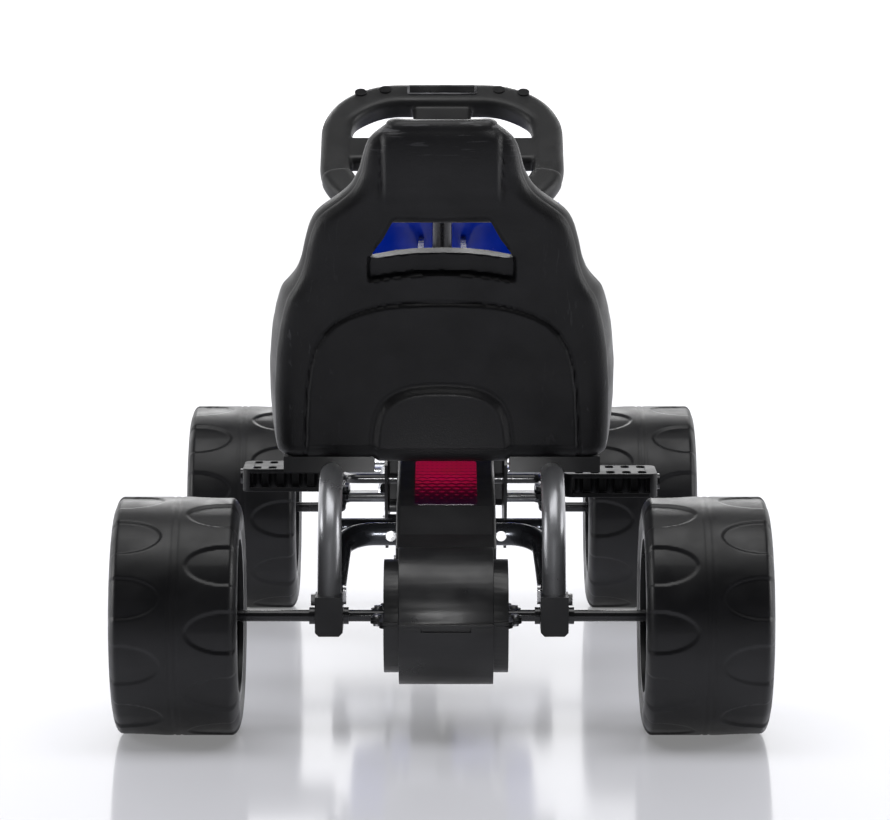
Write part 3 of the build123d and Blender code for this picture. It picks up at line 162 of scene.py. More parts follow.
def moulded(name, color, roughness, grain=900.0, grain_depth=0.00006, coat=0.0, patch=0.5,
            specular=0.5):
    """Moulded plastic: fine spark grain, soft gloss patches and a faint haze."""
    finish = Finish(name, color, roughness, coat=coat, specular=specular)
    haze = finish.noise(14.0, 4.0)
    finish.rough(finish.noise(38.0, 5.0), roughness - 0.07, roughness + 0.09)
    lighter = tuple(min(1.0, c * 1.6 + 0.003) for c in color)
    finish.tint(finish.remap(haze, 0.45, 0.75, 0.0, patch), lighter)
    finish.bump(finish.noise(grain, 2.0), grain_depth)
    finish.bump(finish.noise(26.0, 2.0), 0.0004, 0.5)
    return finish


seat_plastic = Finish("seat_plastic", (0.0055, 0.0054, 0.0062), 0.44, specular=0.33)
leather = seat_plastic.cells(620.0)
seat_plastic.bump(leather, 0.00016, 0.75)
seat_plastic.bump(seat_plastic.noise(1800.0, 2.0), 0.00005, 0.8)
seat_plastic.bump(seat_plastic.noise(11.0, 2.0), 0.0011, 0.5)
seat_plastic.rough(seat_plastic.noise(30.0, 5.0), 0.36, 0.50)
clouds = seat_plastic.remap(seat_plastic.noise(9.0, 4.0), 0.45, 0.75, 0.0, 0.5)
seat_plastic.tint(clouds, (0.010, 0.010, 0.012))
high_up = seat_plastic.remap(seat_plastic.axis("Z"), 0.535, 0.572)
# Painted highlight: the seat back is lightened smoothly towards its top, where the headrest catches the
# light.
headrest_painted_highlight = seat_plastic.remap(seat_plastic.axis("Z"), 0.455, 0.575, 0.0, 0.6)
seat_plastic.tint(headrest_painted_highlight, (0.026, 0.026, 0.028))
streaks = seat_plastic.noise(1.0, 6.0, stretch=(30.0, 60.0, 330.0), distortion=0.35)
scuff = seat_plastic.math("MULTIPLY", seat_plastic.remap(streaks, 0.585, 0.64), high_up)
seat_plastic.tint(seat_plastic.math("MULTIPLY", scuff, 0.55), (0.16, 0.16, 0.17))
far_out = seat_plastic.remap(seat_plastic.math("ABSOLUTE", seat_plastic.axis("X")), 0.088, 0.15)
side_scuff = seat_plastic.noise(1.0, 7.0, stretch=(190.0, 60.0, 40.0), distortion=0.8)
edge_scuff = seat_plastic.math("MULTIPLY", seat_plastic.remap(side_scuff, 0.62, 0.74), far_out)
seat_plastic.tint(seat_plastic.math("MULTIPLY", edge_scuff, 0.35), (0.13, 0.13, 0.14))

tyre_plastic = moulded("tyre_plastic", (0.0072, 0.0072, 0.0085), 0.40, grain=1500.0, patch=0.6,
                       specular=0.42)
rim_plastic = moulded("rim_plastic", (0.012, 0.012, 0.013), 0.33, grain=1400.0)
cap_plastic = moulded("cap_plastic", (0.012, 0.012, 0.013), 0.27, grain=1500.0)
cover_plastic = moulded("cover_plastic", (0.0085, 0.0085, 0.0095), 0.34, grain=1300.0, patch=0.5)
lid_plastic = moulded("lid_plastic", (0.013, 0.013, 0.014), 0.36, grain=1300.0, patch=0.5)
grip_plastic = moulded("grip_plastic", (0.012, 0.0122, 0.013), 0.46, grain=1100.0, grain_depth=0.0001)
pedal_plastic = moulded("pedal_plastic", (0.005, 0.005, 0.006), 0.46, grain=1200.0, specular=0.3)
bush_nylon = moulded("bush_nylon", (0.62, 0.60, 0.55), 0.45, grain=900.0, patch=0.2)
fairing_blue = moulded("fairing_blue", (0.0, 0.045, 0.66), 0.20, grain=500.0, grain_depth=0.00001,
                       coat=0.1, patch=0.12)


def metal_paint(name, color, roughness, metallic, coat=0.4, flake=2600.0):
    """Sprayed metallic paint with fine flake, orange peel and rubbed patches."""
    finish = Finish(name, color, roughness, metallic=metallic, coat=coat)
    finish.rough(finish.noise(45.0, 5.0), roughness - 0.06, roughness + 0.08)
    brighter = tuple(min(1.0, c * 1.7 + 0.01) for c in color)
    finish.tint(finish.remap(finish.noise(flake, 1.0), 0.5, 0.72, 0.0, 0.55), brighter)
    finish.bump(finish.noise(330.0, 2.0), 0.00008, 0.6)
    finish.bump(finish.noise(18.0, 2.0), 0.0003, 0.4)
    return finish


gunmetal_tube = metal_paint("gunmetal_tube", (0.36, 0.365, 0.385), 0.33, 0.75)
dark_tube = metal_paint("dark_tube", (0.045, 0.048, 0.056), 0.24, 0.75)
bumper_silver = metal_paint("bumper_silver", (0.45, 0.46, 0.48), 0.26, 0.85)
black_rod = metal_paint("black_rod", (0.016, 0.016, 0.018), 0.27, 0.4)


def bare_metal(name, color, roughness, oil=0.0):
    """Plated or oiled steel with fine turning marks, tarnish and darker grime."""
    finish = Finish(name, color, roughness, metallic=1.0)
    finish.rough(finish.noise(90.0, 6.0), roughness - 0.08, roughness + 0.12)
    dull = tuple(c * 0.45 for c in color)
    finish.tint(finish.remap(finish.noise(60.0, 5.0), 0.5, 0.75, 0.0, 0.35 + oil), dull)
    finish.bump(finish.noise(1.0, 2.0, stretch=(2400.0, 300.0, 300.0)), 0.00003, 0.7)
    return finish


bright_fasteners = bare_metal("bright_fasteners", (0.55, 0.55, 0.56), 0.3)
chain_steel = bare_metal("chain_steel", (0.30, 0.29, 0.28), 0.35, oil=0.4)
badge_silver = bare_metal("badge_silver", (0.36, 0.36, 0.38), 0.32)

# The decal fades through a honeycomb from crimson at the front to black at the rear.
decal_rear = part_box("cover_decal")[0][1]
decal_film = Finish("decal_film", (1.0, 0.006, 0.12), 0.35, coat=0.3)
glow = decal_film.noise(24.0, 2.0)
decal_film.tint(decal_film.remap(glow, 0.45, 0.7, 0.0, 0.35), (0.62, 0.03, 0.03))
CELL = 0.0095
ROW = 0.0098
along = decal_film.math("DIVIDE", decal_film.axis("Y"), ROW)
row_index = decal_film.math("FLOOR", along)
parity = decal_film.math("MODULO", decal_film.math("ABSOLUTE", row_index), 2.0)
odd = decal_film.math("MULTIPLY", parity, 0.5)
across = decal_film.math("ADD", decal_film.math("DIVIDE", decal_film.axis("X"), CELL), odd)
cell_x = decal_film.math("ABSOLUTE", decal_film.math("SUBTRACT", decal_film.math("FRACT", across), 0.5))
cell_y = decal_film.math("ABSOLUTE", decal_film.math("SUBTRACT", decal_film.math("FRACT", along), 0.5))
hexagon = decal_film.math("ADD", decal_film.math("MULTIPLY", cell_x, 0.62), cell_y)
fade = decal_film.remap(decal_film.axis("Y"), decal_rear + 0.005, decal_rear + 0.125, 0.0, 1.0)
limit = decal_film.math("ADD", decal_film.math("MULTIPLY", fade, 0.66), 0.06)
inside = decal_film.math("GREATER_THAN", decal_film.math("SUBTRACT", hexagon, limit), 0.0)
shade = decal_film.math("MULTIPLY", inside, decal_film.remap(fade, 0.0, 1.0, 0.97, 0.5))
decal_film.tint(shade, (0.012, 0.0, 0.008))
rear_dark = decal_film.remap(decal_film.axis("Y"), decal_rear, decal_rear + 0.075, 0.93, 0.0)
decal_film.tint(rear_dark, (0.014, 0.0, 0.014))
decal_film.bump(decal_film.noise(260.0, 2.0), 0.00003)

SLOTS = {
    "seat_plastic": seat_plastic, "tyre_plastic": tyre_plastic, "rim_plastic": rim_plastic,
    "cap_plastic": cap_plastic, "bush_nylon": bush_nylon, "gunmetal_tube": gunmetal_tube,
    "dark_tube": dark_tube, "black_rod": black_rod, "chain_steel": chain_steel,
    "cover_plastic": cover_plastic, "decal_film": decal_film, "fairing_blue": fairing_blue,
    "bumper_silver": bumper_silver, "grip_plastic": grip_plastic, "pedal_plastic": pedal_plastic,
    "badge_silver": badge_silver, "bright_fasteners": bright_fasteners,
}


def paint(obj, finish):
    """Give an object one material."""
    obj.data.materials.clear()
    obj.data.materials.append(finish.material)


for row in frame["record"]["subparts"]:
    paint(nodes[row["node"]], SLOTS[row["material_slot"]])
paint(nodes["chain_cover"], lid_plastic)


# ------------------------------------------------------------------ mesh helpers
def mesh_object(name, points, faces, finish, body, smooth_angle=38.0):
    """A new piece from points in metres, smooth-shaded below an angle, riding on a body."""
    mesh = bpy.data.meshes.new(name)
    mesh.from_pydata([tuple(p) for p in points], [], [tuple(f) for f in faces])
    mesh.validate()
    obj = bpy.data.objects.new(name, mesh)
    scene.collection.objects.link(obj)
    finish_piece(obj, finish, body, smooth_angle)
    return obj


def finish_piece(obj, finish, body, smooth_angle=38.0):
    """Consistent normals, smooth shading, material and body."""
    work = bmesh.new()
    work.from_mesh(obj.data)
    bmesh.ops.remove_doubles(work, verts=work.verts, dist=1e-6)
    bmesh.ops.recalc_face_normals(work, faces=work.faces)
    work.to_mesh(obj.data)
    work.free()
    obj.data.polygons.foreach_set("use_smooth", [True] * len(obj.data.polygons))
    obj.data.set_sharp_from_angle(angle=math.radians(smooth_angle))
    paint(obj, finish)
    if obj.parent is None:
        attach(obj, body)


def baked(obj):
    """Apply an object's modifiers to its mesh."""
    graph = bpy.context.evaluated_depsgraph_get()
    mesh = bpy.data.meshes.new_from_object(obj.evaluated_get(graph))
    obj.modifiers.clear()
    old = obj.data
    obj.data = mesh
    bpy.data.meshes.remove(old)


def grid_faces(rows, cols, wrap_cols=False, wrap_rows=False):
    """Quads over a grid of points stored row by row."""
    faces = []
    for r in range(rows if wrap_rows else rows - 1):
        for c in range(cols if wrap_cols else cols - 1):
            r2 = (r + 1) % rows
            c2 = (c + 1) % cols
            faces.append((r * cols + c, r * cols + c2, r2 * cols + c2, r2 * cols + c))
    return faces


def smoothstep(value, low, high):
    """0 below low, 1 above high, and an S-shaped curve between."""
    t = np.clip((value - low) / (high - low), 0.0, 1.0)
    return t * t * (3 - 2 * t)


def table_curve(at, keys, values, blur=0.0):
    """Values read from a table, with its corners rounded by a moving average."""
    if not blur:
        return np.interp(at, keys, values)
    offsets = np.linspace(-blur, blur, 9)
    return np.mean([np.interp(at + o, keys, values) for o in offsets], axis=0)


def distance_to_line(px, py, line):
    """Distance from points to an open line of (x, y) corners."""
    best = np.full(px.shape, 1e9)
    for (ax, ay), (bx, by) in zip(line[:-1], line[1:]):
        dx, dy = bx - ax, by - ay
        t = np.clip(((px - ax) * dx + (py - ay) * dy) / (dx * dx + dy * dy), 0, 1)
        best = np.minimum(best, np.hypot(px - ax - t * dx, py - ay - t * dy))
    return best


def inside_polygon(px, py, polygon):
    """True where points are inside a closed polygon."""
    hit = np.zeros(px.shape, bool)
    for (ax, ay), (bx, by) in zip(polygon, polygon[1:] + polygon[:1]):
        if ay == by:
            continue
        cross = ((ay > py) != (by > py)) & (px < (bx - ax) * (py - ay) / (by - ay) + ax)
        hit ^= cross
    return hit


def signed_distance(px, py, polygon):
    """Distance to a closed polygon, negative inside."""
    away = distance_to_line(px, py, polygon + polygon[:1])
    return np.where(inside_polygon(px, py, polygon), -away, away)


# ------------------------------------------------------------------ seat
# Worked in millimetres: x across, and (ahead, high) from the foot of the seat back's rear face.
RECLINE = math.radians(14.7)
SEAT_Y = -268.5
SEAT_Z = 246.0
SEAT_TOP = 336.0
SEAT_WALL = 12.0
PAN_FRONT = 193.0
ARCH_STEP = 2.4
PAD_STEP = 6.5
HEAD_PANEL_HALF = 57.0
HEAD_PANEL_STEP = 4.2
CREASE_DEPTH = 2.2
RECESS_STEP = 8.5
CURL_START = 290.0
CURL_DEPTH = 24.0
CURL_LENGTH = 52.0
PANEL_HALF = 88.0  # the sitter's padded panel, between its two channels
PANEL_STEP = 2.2
CHANNEL_DEPTH = 1.8
BACK_UP = np.array((-math.sin(RECLINE), math.cos(RECLINE)))
BACK_IN = np.array((math.cos(RECLINE), math.sin(RECLINE)))

HALF_WIDTH_V = [0, 9.5, 30, 68, 107, 132, 148, 160, 171, 182, 196, 210, 227, 236, 243, 249, 255, 262, 269,
                284, 300, 312, 318, 323, 328, 332, 336]
HALF_WIDTH_X = [160.5, 162.3, 163.2, 163.2, 160.6, 156.7, 153, 149.5, 142, 136, 131.5, 129, 124.5, 120.5,
                115, 107, 98.5, 90, 84, 77, 73.5, 70, 65.5, 59, 51.5, 45, 38]
ARCH = [(130, -20), (129.5, 5), (128.4, 40), (126.8, 69), (123.6, 92), (118.5, 111), (110.5, 125),
        (99.5, 136), (88, 143), (75.7, 147.6), (63, 151.5), (50.1, 154), (34, 155.6), (16.9, 156.4),
        (0, 156.6)]
PAD = [(68.5, -20), (67.2, 5), (66, 22), (64.3, 36), (61.6, 47), (57.2, 56), (52, 61.5), (45.3, 66.3),
       (37.5, 70), (28.7, 72.6), (15, 74.3), (0, 74.8)]
HOLE = [(0, 239.0), (20, 240.2), (42, 241.0), (45, 239.5), (47.5, 236.0), (56, 220), (65, 208.5),
        (67.5, 203.5), (66, 201.5), (60, 202.6), (45, 205.6), (25, 207.6), (0, 208.3)]
RECESS = [(0, 208), (25, 207), (60, 203), (69.5, 204), (70.5, 198), (70.5, 182), (67.5, 178.5),
          (62, 179.2), (45, 182.4), (25, 184.6), (0, 185.4)]


def both_sides(half):
    """Closed outline from a right-hand half that starts and ends on the middle line."""
    return list(half) + [(-x, v) for x, v in reversed(half) if x > 0]


def rear_detail(x, v):
    """How far the seat back's rear face stands out (positive) or in at (x, v)."""
    out = np.zeros(x.shape)
    arch = signed_distance(x, v, both_sides(ARCH))
    out += ARCH_STEP * smoothstep(-arch, -1.2, 1.6)
    out -= 1.3 * np.exp(-((arch - 1.8) / 1.4) ** 2)
    pad = signed_distance(x, v, both_sides(PAD))
    out += PAD_STEP * smoothstep(-pad, 0.0, 7.5)
    out -= 0.8 * np.exp(-((pad - 1.0) / 1.2) ** 2)
    panel = smoothstep(HEAD_PANEL_HALF - np.abs(x), 0.0, 6.0) * smoothstep(v, 250, 274)
    panel *= 1 - 0.7 * smoothstep(v, 318, 336)
    out += HEAD_PANEL_STEP * panel
    crease = np.exp(-((np.abs(x) - HEAD_PANEL_HALF - 1.0) / 2.0) ** 2) * smoothstep(v, 256, 280)
    crease *= 1 - smoothstep(v, 312, 332)
    out -= CREASE_DEPTH * crease
    recess = signed_distance(x, v, both_sides(RECESS))
    out -= RECESS_STEP * smoothstep(-recess, -0.8, 3.4)
    rim = signed_distance(x, v, both_sides(HOLE))
    out -= 1.8 * smoothstep(4.0 - rim, 0.0, 4.0) * (v > 212)
    return out


def seat_rows():
    """Rows along the seat: (outer point, inward normal, rim point, half width, depth scale)."""
    rows = []
    top = np.arange(SEAT_TOP - 8.5, 12.0, -1.7)
    rim_v = [0, 120, 150, 168, 185, 205, 225, 245, 262, 285, 310, 336]
    rim_d = [84, 84, 64, 50, 40, 36, 37, 38, 36, 30, 24, 20]
    back_rim = lambda v: v * BACK_UP + BACK_IN * table_curve(np.array([v]), rim_v, rim_d, 8.0)[0]
    lower = [back_rim(120.0), (66, 106), (84, 82), (112, 64), (140, 50), (166, 38), (184, 27), (192.6, 14)]
    lower = np.array([tuple(p) for p in lower])
    runs = np.concatenate(([0], np.cumsum(np.hypot(*np.diff(lower, axis=0).T))))
    path = []
    for v in top:
        path.append((v * BACK_UP, BACK_IN, v))
    turn = 17.0
    centre = 12.8 * BACK_UP + BACK_IN * turn
    for angle in np.linspace(RECLINE, math.pi / 2, 14)[1:-1]:
        normal = np.array((math.cos(angle), math.sin(angle)))
        path.append((centre - normal * turn, normal, 8.0))
    for a in np.arange(13.2, PAN_FRONT - 7.0, 2.4):
        path.append((np.array((a, 0.0)), np.array((0.0, 1.0)), 0.0))
    steps = [0.0]
    for before, here in zip(path[:-1], path[1:]):
        steps.append(steps[-1] + float(np.hypot(*(here[0] - before[0]))))
    start = next(s for s, p in zip(steps, path) if p[2] <= 120.0)
    for (point, normal, v), s in zip(path, steps):
        if v > 120.0:
            rim = back_rim(v)
        else:
            f = (s - start) / (steps[-1] - start)
            f = f ** 0.92
            rim = np.array([np.interp(f * runs[-1], runs, lower[:, i]) for i in (0, 1)])
        half = table_curve(np.array([max(v, 0.0)]), HALF_WIDTH_V, HALF_WIDTH_X, 4.0)[0]
        if v == 0.0:
            half -= 9.0 * smoothstep(point[0], PAN_FRONT - 46, PAN_FRONT)
        rows.append([point, normal, rim, half, v])
    return rows


def seat_section(point, normal, rim, half, v):
    """One half cross-section: (x, ahead, high, is rear face) from the middle round to the middle."""
    reach = rim - point
    span = float(np.hypot(*reach))
    way = reach / span
    round_x = 20.0
    round_d = min(13.0, span * 0.42)
    flare = 5.5 * smoothstep(span, 16, 60) + 1.0
    lip = min(8.5, span * 0.22)
    half = half + 3.0 * smoothstep(span, 20, 60)
    shrink = half - flare
    flat = np.linspace(0, shrink - round_x, 92)
    section = [(x, *point, 1.0) for x in flat]
    for angle in np.linspace(0, math.pi / 2, 12)[1:]:
        x = shrink - round_x + round_x * math.sin(angle)
        d = round_d * (1 - math.cos(angle))
        base = point + normal * d * 0.5 + way * d * 0.5
        section.append((x, *base, 0.0 if angle > 1.0 else 1.0))
    low = point + way * round_d
    high = rim - way * lip
    for t in np.linspace(0, 1, 22)[1:]:
        spot = low + (high - low) * t
        swell = flare * (1 - (1 - min(t / 0.75, 1.0)) ** 2)
        section.append((shrink + swell, *spot, 0.0))
    for angle in np.linspace(0, math.pi, 12)[1:]:
        spot = high + way * lip * math.sin(angle)
        section.append((half - lip + lip * math.cos(angle), *spot, 0.0))
    wall = min(SEAT_WALL + 1.0, span * 0.55)
    bottom = point + normal * wall
    fillet = min(16.0, max(2.0, span * 0.3))
    inner_x = half - 2 * lip
    foot = bottom + way * fillet * 0.9
    for t in np.linspace(0, 1, 20)[1:]:
        spot = high + (foot - high) * t
        lean = (shrink - 20.0 - inner_x) * t * 0.7 if shrink - 20.0 < inner_x else 0.0
        section.append((inner_x + lean, *spot, 0.0))
    last_x = section[-1][0]
    for angle in np.linspace(0, math.pi / 2, 9)[1:]:
        x = last_x - fillet * (1 - math.cos(angle))
        spot = foot + (bottom - foot) * math.sin(angle)
        section.append((x, *spot, 0.0))
    last_x = section[-1][0]
    for x in np.linspace(last_x, 0, 46)[1:]:
        section.append((x, *bottom, -1.0))
    return np.array(section)


def make_seat():
    """Points and faces of the whole seat, from rows of cross-sections."""
    rows = seat_rows()
    grid = []
    for point, normal, rim, half, v in rows:
        section = seat_section(point, normal, rim, half, v)
        x, rear = section[:, 0], section[:, 3] > 0.5
        front = section[:, 3] < -0.5
        out = np.zeros(len(section))
        if v > 0:
            out[rear] = rear_detail(x[rear], np.full(rear.sum(), float(v)))
            fade = smoothstep(np.array([float(v)]), 4.0, 12.0)[0]
            out *= fade
        shift = -out[:, None] * normal[None, :]
        # Sitter's side: a shallow raised panel between two channels.
        hollow = PANEL_STEP * smoothstep(PANEL_HALF - np.abs(x), 0.0, 9.0) - PANEL_STEP
        lane = np.exp(-((np.abs(x) - PANEL_HALF) / 2.6) ** 2)
        inner = np.where(front, hollow - CHANNEL_DEPTH * lane, 0.0)
        shift = shift + inner[:, None] * normal[None, :]
        # The headrest curls forward at its top.
        curl = max(0.0, v - CURL_START)
        bend = CURL_DEPTH * (1 - math.sqrt(max(0.0, 1 - (curl / CURL_LENGTH) ** 2)))
        shift = shift + BACK_IN[None, :] * bend
        grid.append(np.column_stack((x, section[:, 1:3] + shift)))
    grid = np.array(grid)

    def closing(row, step, pinch, count=7, reach=7.5):
        """Rounded rows that close the headrest's top or the pan's front edge."""
        middle = (row[0, 1:] + row[-1, 1:]) / 2
        extra = []
        for k in range(1, count + 1):
            angle = math.radians(78) * k / count
            squeeze = math.cos(angle)
            new = row.copy()
            new[:, 1:] = middle + (row[:, 1:] - middle) * squeeze
            new[:, 1:] += np.array(step) * reach * math.sin(angle)
            new[:, 0] = row[:, 0] * (1 - pinch * (1 - squeeze))
            extra.append(new)
        return extra

    head = closing(grid[0], BACK_UP * 0.97 + BACK_IN * 0.25, 0.30)[::-1]
    nose = closing(grid[-1], (1.0, 0.0), 0.055)
    grid = np.array(head + list(grid) + nose)
    count = grid.shape[0]
    left = grid[:, ::-1, :].copy()
    left[:, :, 0] *= -1
    full = np.concatenate((grid, left[:, 1:-1, :]), axis=1)
    cols = full.shape[1]
    points = full.reshape(-1, 3).copy()
    points[:, 1] += SEAT_Y
    points[:, 2] += SEAT_Z
    faces = grid_faces(count, cols, wrap_cols=True)
    faces.append(tuple(range(cols)))
    faces.append(tuple((count - 1) * cols + c for c in reversed(range(cols))))
    return points / 1000.0, faces


def back_to_world(x, v, depth):
    """Metres from millimetres across, up and into the seat back."""
    a, h = v * BACK_UP + BACK_IN * depth
    return (x / 1000, (SEAT_Y + a) / 1000, (SEAT_Z + h) / 1000)


seat_points, seat_faces = make_seat()
seat = mesh_object("seat_bucket", seat_points, seat_faces, seat_plastic, "frame", smooth_angle=60.0)
outline = both_sides(HOLE)
ring = len(outline)
cutter_points = [back_to_world(x, v, -14.0) for x, v in outline]
cutter_points += [back_to_world(x * 0.97, v + 1.5, 40.0) for x, v in outline]
cutter_faces = [(i, (i + 1) % ring, ring + (i + 1) % ring, ring + i) for i in range(ring)]
cutter_faces += [tuple(reversed(range(ring))), tuple(range(ring, 2 * ring))]
cutter_mesh = bpy.data.meshes.new("cutter")
cutter_mesh.from_pydata(cutter_points, [], cutter_faces)
cutter = bpy.data.objects.new("cutter", cutter_mesh)
scene.collection.objects.link(cutter)
cut_work = bmesh.new()
cut_work.from_mesh(cutter_mesh)
bmesh.ops.recalc_face_normals(cut_work, faces=cut_work.faces)
cut_work.to_mesh(cutter_mesh)
cut_work.free()
cut = seat.modifiers.new("hole", "BOOLEAN")
cut.operation = "DIFFERENCE"
cut.solver = "EXACT"
cut.object = cutter
baked(seat)
bpy.data.objects.remove(cutter)
finish_piece(seat, seat_plastic, "frame", smooth_angle=50.0)
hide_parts("seat_shell")


# ------------------------------------------------------------------ steering wheel
TILT = math.radians(32.0)
WHEEL_CENTRE = Vector((0.0, 0.09073616, 0.51026916))
WHEEL_UP = Vector((0.0, math.cos(TILT), math.sin(TILT)))
WHEEL_OUT = Vector((0.0, -math.sin(TILT), math.cos(TILT)))
RING_A = 111.0
RING_B = 97.0
RING_RAISE = 11.0
RING_CORNER = 68.5
HUB_INSIDE = 30.0  # where the spokes and blocks end, inside the hub
TOP_BLOCK_HALF = 30.5
LOW_BLOCK_HALF = 20.0
GRIP_LOW = -82.0
GRIP_HIGH = -32.0


def wheel_point(x, up, out):
    """Metres in the scene from millimetres in the steering wheel's own axes."""
    return WHEEL_CENTRE + Vector((1, 0, 0)) * (x / 1000) + WHEEL_UP * (up / 1000) + WHEEL_OUT * (out / 1000)


def ring_path(count=360):
    """Points of the wheel rim's centre line, from the top middle clockwise."""
    straight_x = RING_A - RING_CORNER
    straight_y = RING_B - RING_CORNER
    quarter = math.pi / 2 * RING_CORNER
    legs = [("line", straight_x), ("arc", quarter), ("line", 2 * straight_y), ("arc", quarter),
            ("line", 2 * straight_x), ("arc", quarter), ("line", 2 * straight_y), ("arc", quarter),
            ("line", straight_x)]
    total = sum(length for _, length in legs)
    points = []
    for index in range(count):
        s = total * index / count
        x, y, heading = 0.0, RING_B, 0.0
        for kind, length in legs:
            step = min(s, length)
            if kind == "line":
                x += step * math.cos(heading)
                y -= step * math.sin(heading)
            else:
                swept = step / RING_CORNER
                cx = x - RING_CORNER * math.sin(heading)
                cy = y - RING_CORNER * math.cos(heading)
                x = cx + RING_CORNER * math.sin(heading + swept)
                y = cy + RING_CORNER * math.cos(heading + swept)
                heading += swept
            s -= step
            if s <= 1e-9:
                break
        points.append((x, y + RING_RAISE, heading))
    return points


def superellipse(a, b, power, count):
    """Points round a rounded-square outline of half sizes a and b."""
    out = []
    for index in range(count):
        angle = 2 * math.pi * index / count
        c, s = math.cos(angle), math.sin(angle)
        wide = a * math.copysign(abs(c) ** (2 / power), c)
        tall = b * math.copysign(abs(s) ** (2 / power), s)
        out.append((wide, tall))
    return out


def sweep_ring(path, size_at, closed=True, sections=36):
    """Points and faces of a rim swept along the path; size_at gives (a, b, power, inset)."""
    points = []
    for index, (x, y, heading) in enumerate(path):
        a, b, power, inset = size_at(index)
        nx, ny = math.sin(heading), math.cos(heading)
        for u, w in superellipse(a, b, power, sections):
            points.append(wheel_point(x + nx * (u - inset), y + ny * (u - inset), w))
    faces = grid_faces(len(path), sections, wrap_cols=True, wrap_rows=closed)
    if not closed:
        faces.append(tuple(range(sections)))
        faces.append(tuple((len(path) - 1) * sections + c for c in reversed(range(sections))))
    return points, faces


def box_points(x0, x1, y0, y1, z0, z1, chamfer=3.0):
    """A chamfered block in the wheel's own axes."""
    points = []
    for z, inset in ((z0, chamfer), (z0 + chamfer, 0), (z1 - chamfer, 0), (z1, chamfer)):
        for x, y in ((x0, y0), (x1, y0), (x1, y1), (x0, y1)):
            sx = inset if x == x0 else -inset
            sy = inset if y == y0 else -inset
            points.append(wheel_point(x + sx, y + sy, z))
    faces = grid_faces(4, 4, wrap_cols=True) + [(3, 2, 1, 0), (12, 13, 14, 15)]
    return points, faces


def lathe_points(profile, count=96):
    """A turned solid about the wheel's axis from (radius, out) corners."""
    points = []
    for radius, out in profile:
        for k in range(count):
            angle = 2 * math.pi * k / count
            points.append(wheel_point(radius * math.cos(angle), radius * math.sin(angle), out))
    faces = grid_faces(len(profile), count, wrap_cols=True)
    faces += [tuple(range(count)), tuple((len(profile) - 1) * count + c for c in reversed(range(count)))]
    return points, faces


def joined(parts):
    """One list of points and faces from several."""
    points, faces = [], []
    for some, quads in parts:
        base = len(points)
        points += some
        faces += [tuple(base + i for i in f) for f in quads]
    return points, faces


path = ring_path()


def rim_size(index):
    x, y, _ = path[index]
    top = smoothstep(np.array([y]), 60.0, 98.0)[0]
    a = 16.2 + 1.2 * top
    return a, 12.6, 2.9 + 1.7 * top, a - 15.3


wheel_parts = [sweep_ring(path, rim_size)]
# The hub, the two side spokes, and the blocks above and below the hub, in (across, up, out).
hub_profile = [(30, -11), (45, -10), (50, -5), (51, 4), (50, 11), (46, 15.5), (36, 18), (20, 18.6)]
wheel_parts.append(lathe_points(hub_profile))
for side in (-1, 1):
    low, high = sorted((side * HUB_INSIDE, side * 106))
    wheel_parts.append(box_points(low, high, -12, 30, -10, 9.5, 4.0))
wheel_parts.append(box_points(-TOP_BLOCK_HALF, TOP_BLOCK_HALF, HUB_INSIDE, 104, -10, 5.0, 3.0))
wheel_parts.append(box_points(-LOW_BLOCK_HALF, LOW_BLOCK_HALF, -84, -HUB_INSIDE, -9, 7, 4.0))
wheel_points, wheel_faces = joined(wheel_parts)
wheel = mesh_object("steering_wheel_moulding", wheel_points, wheel_faces, grip_plastic, "steering")
remesh = wheel.modifiers.new("fuse", "REMESH")
remesh.mode = "VOXEL"
remesh.voxel_size = 0.0016
smooth = wheel.modifiers.new("soften", "SMOOTH")
smooth.factor = 0.5
smooth.iterations = 9
baked(wheel)
finish_piece(wheel, grip_plastic, "steering", smooth_angle=70.0)
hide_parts("steering_wheel")

for word, side in (("left", -1), ("right", 1)):
    chosen = [p for p in path if p[0] * side > 0 and GRIP_LOW < p[1] < GRIP_HIGH]
    if side < 0:
        chosen = chosen[::-1]
    last = len(chosen) - 1

    def grip_size(index):
        end = min(index, last - index)
        full = 1 - max(0.0, 1 - end / 3.0) ** 2 * 0.09
        return 16.9 * full, 13.2 * full, 2.9, 0.9

    grip_points, grip_faces = sweep_ring(chosen, grip_size, closed=False, sections=48)
    mesh_object(f"grip_{word}", grip_points, grip_faces, grip_plastic, "steering", smooth_angle=50.0)

# A blank black plate stands a little proud of the badge's silver edge.
plate_points, plate_faces = box_points(-34.5, 34.5, 102.3, 113.7, 13.0, 14.2, 0.3)
mesh_object("badge_plate", plate_points, plate_faces, cap_plastic, "steering")

# ------------------------------------------------------------------ tyres
TYRE_RADIUS = 111.5
POCKETS = 11
POCKET_START = 11.0
POCKET_END = 50.0
POCKET_HALF = 20.0
TYRE_BORE = 80.3
SHOULDER_RADIUS = 92.0
TREAD_HALF = 50.0  # half the tread's width, up to where the shoulders round over
WALL_HALF = 56.6  # half the width at the bore
TREAD_GROOVE = 0.7
POCKET_DEPTH = 1.7


def tyre_profile():
    """(radius, along the axle) from the inner lip over the tread and back."""
    profile = [(TYRE_BORE, -WALL_HALF), (83, -57.4), (88, -58.4), (SHOULDER_RADIUS, -58.9)]
    for angle in np.linspace(0, math.pi / 2, 12):
        radius = SHOULDER_RADIUS + (TYRE_RADIUS - SHOULDER_RADIUS) * math.sin(angle)
        profile.append((radius, -TREAD_HALF - 9 * math.cos(angle)))
    profile += [(TYRE_RADIUS, s) for s in np.linspace(-TREAD_HALF, 0, 34)[1:]]
    mirror = [(r, -s) for r, s in profile[:-1]][::-1]
    profile += mirror
    profile += [(TYRE_BORE, s) for s in np.linspace(WALL_HALF, -WALL_HALF, 9)[1:-1]]
    return np.array(profile)


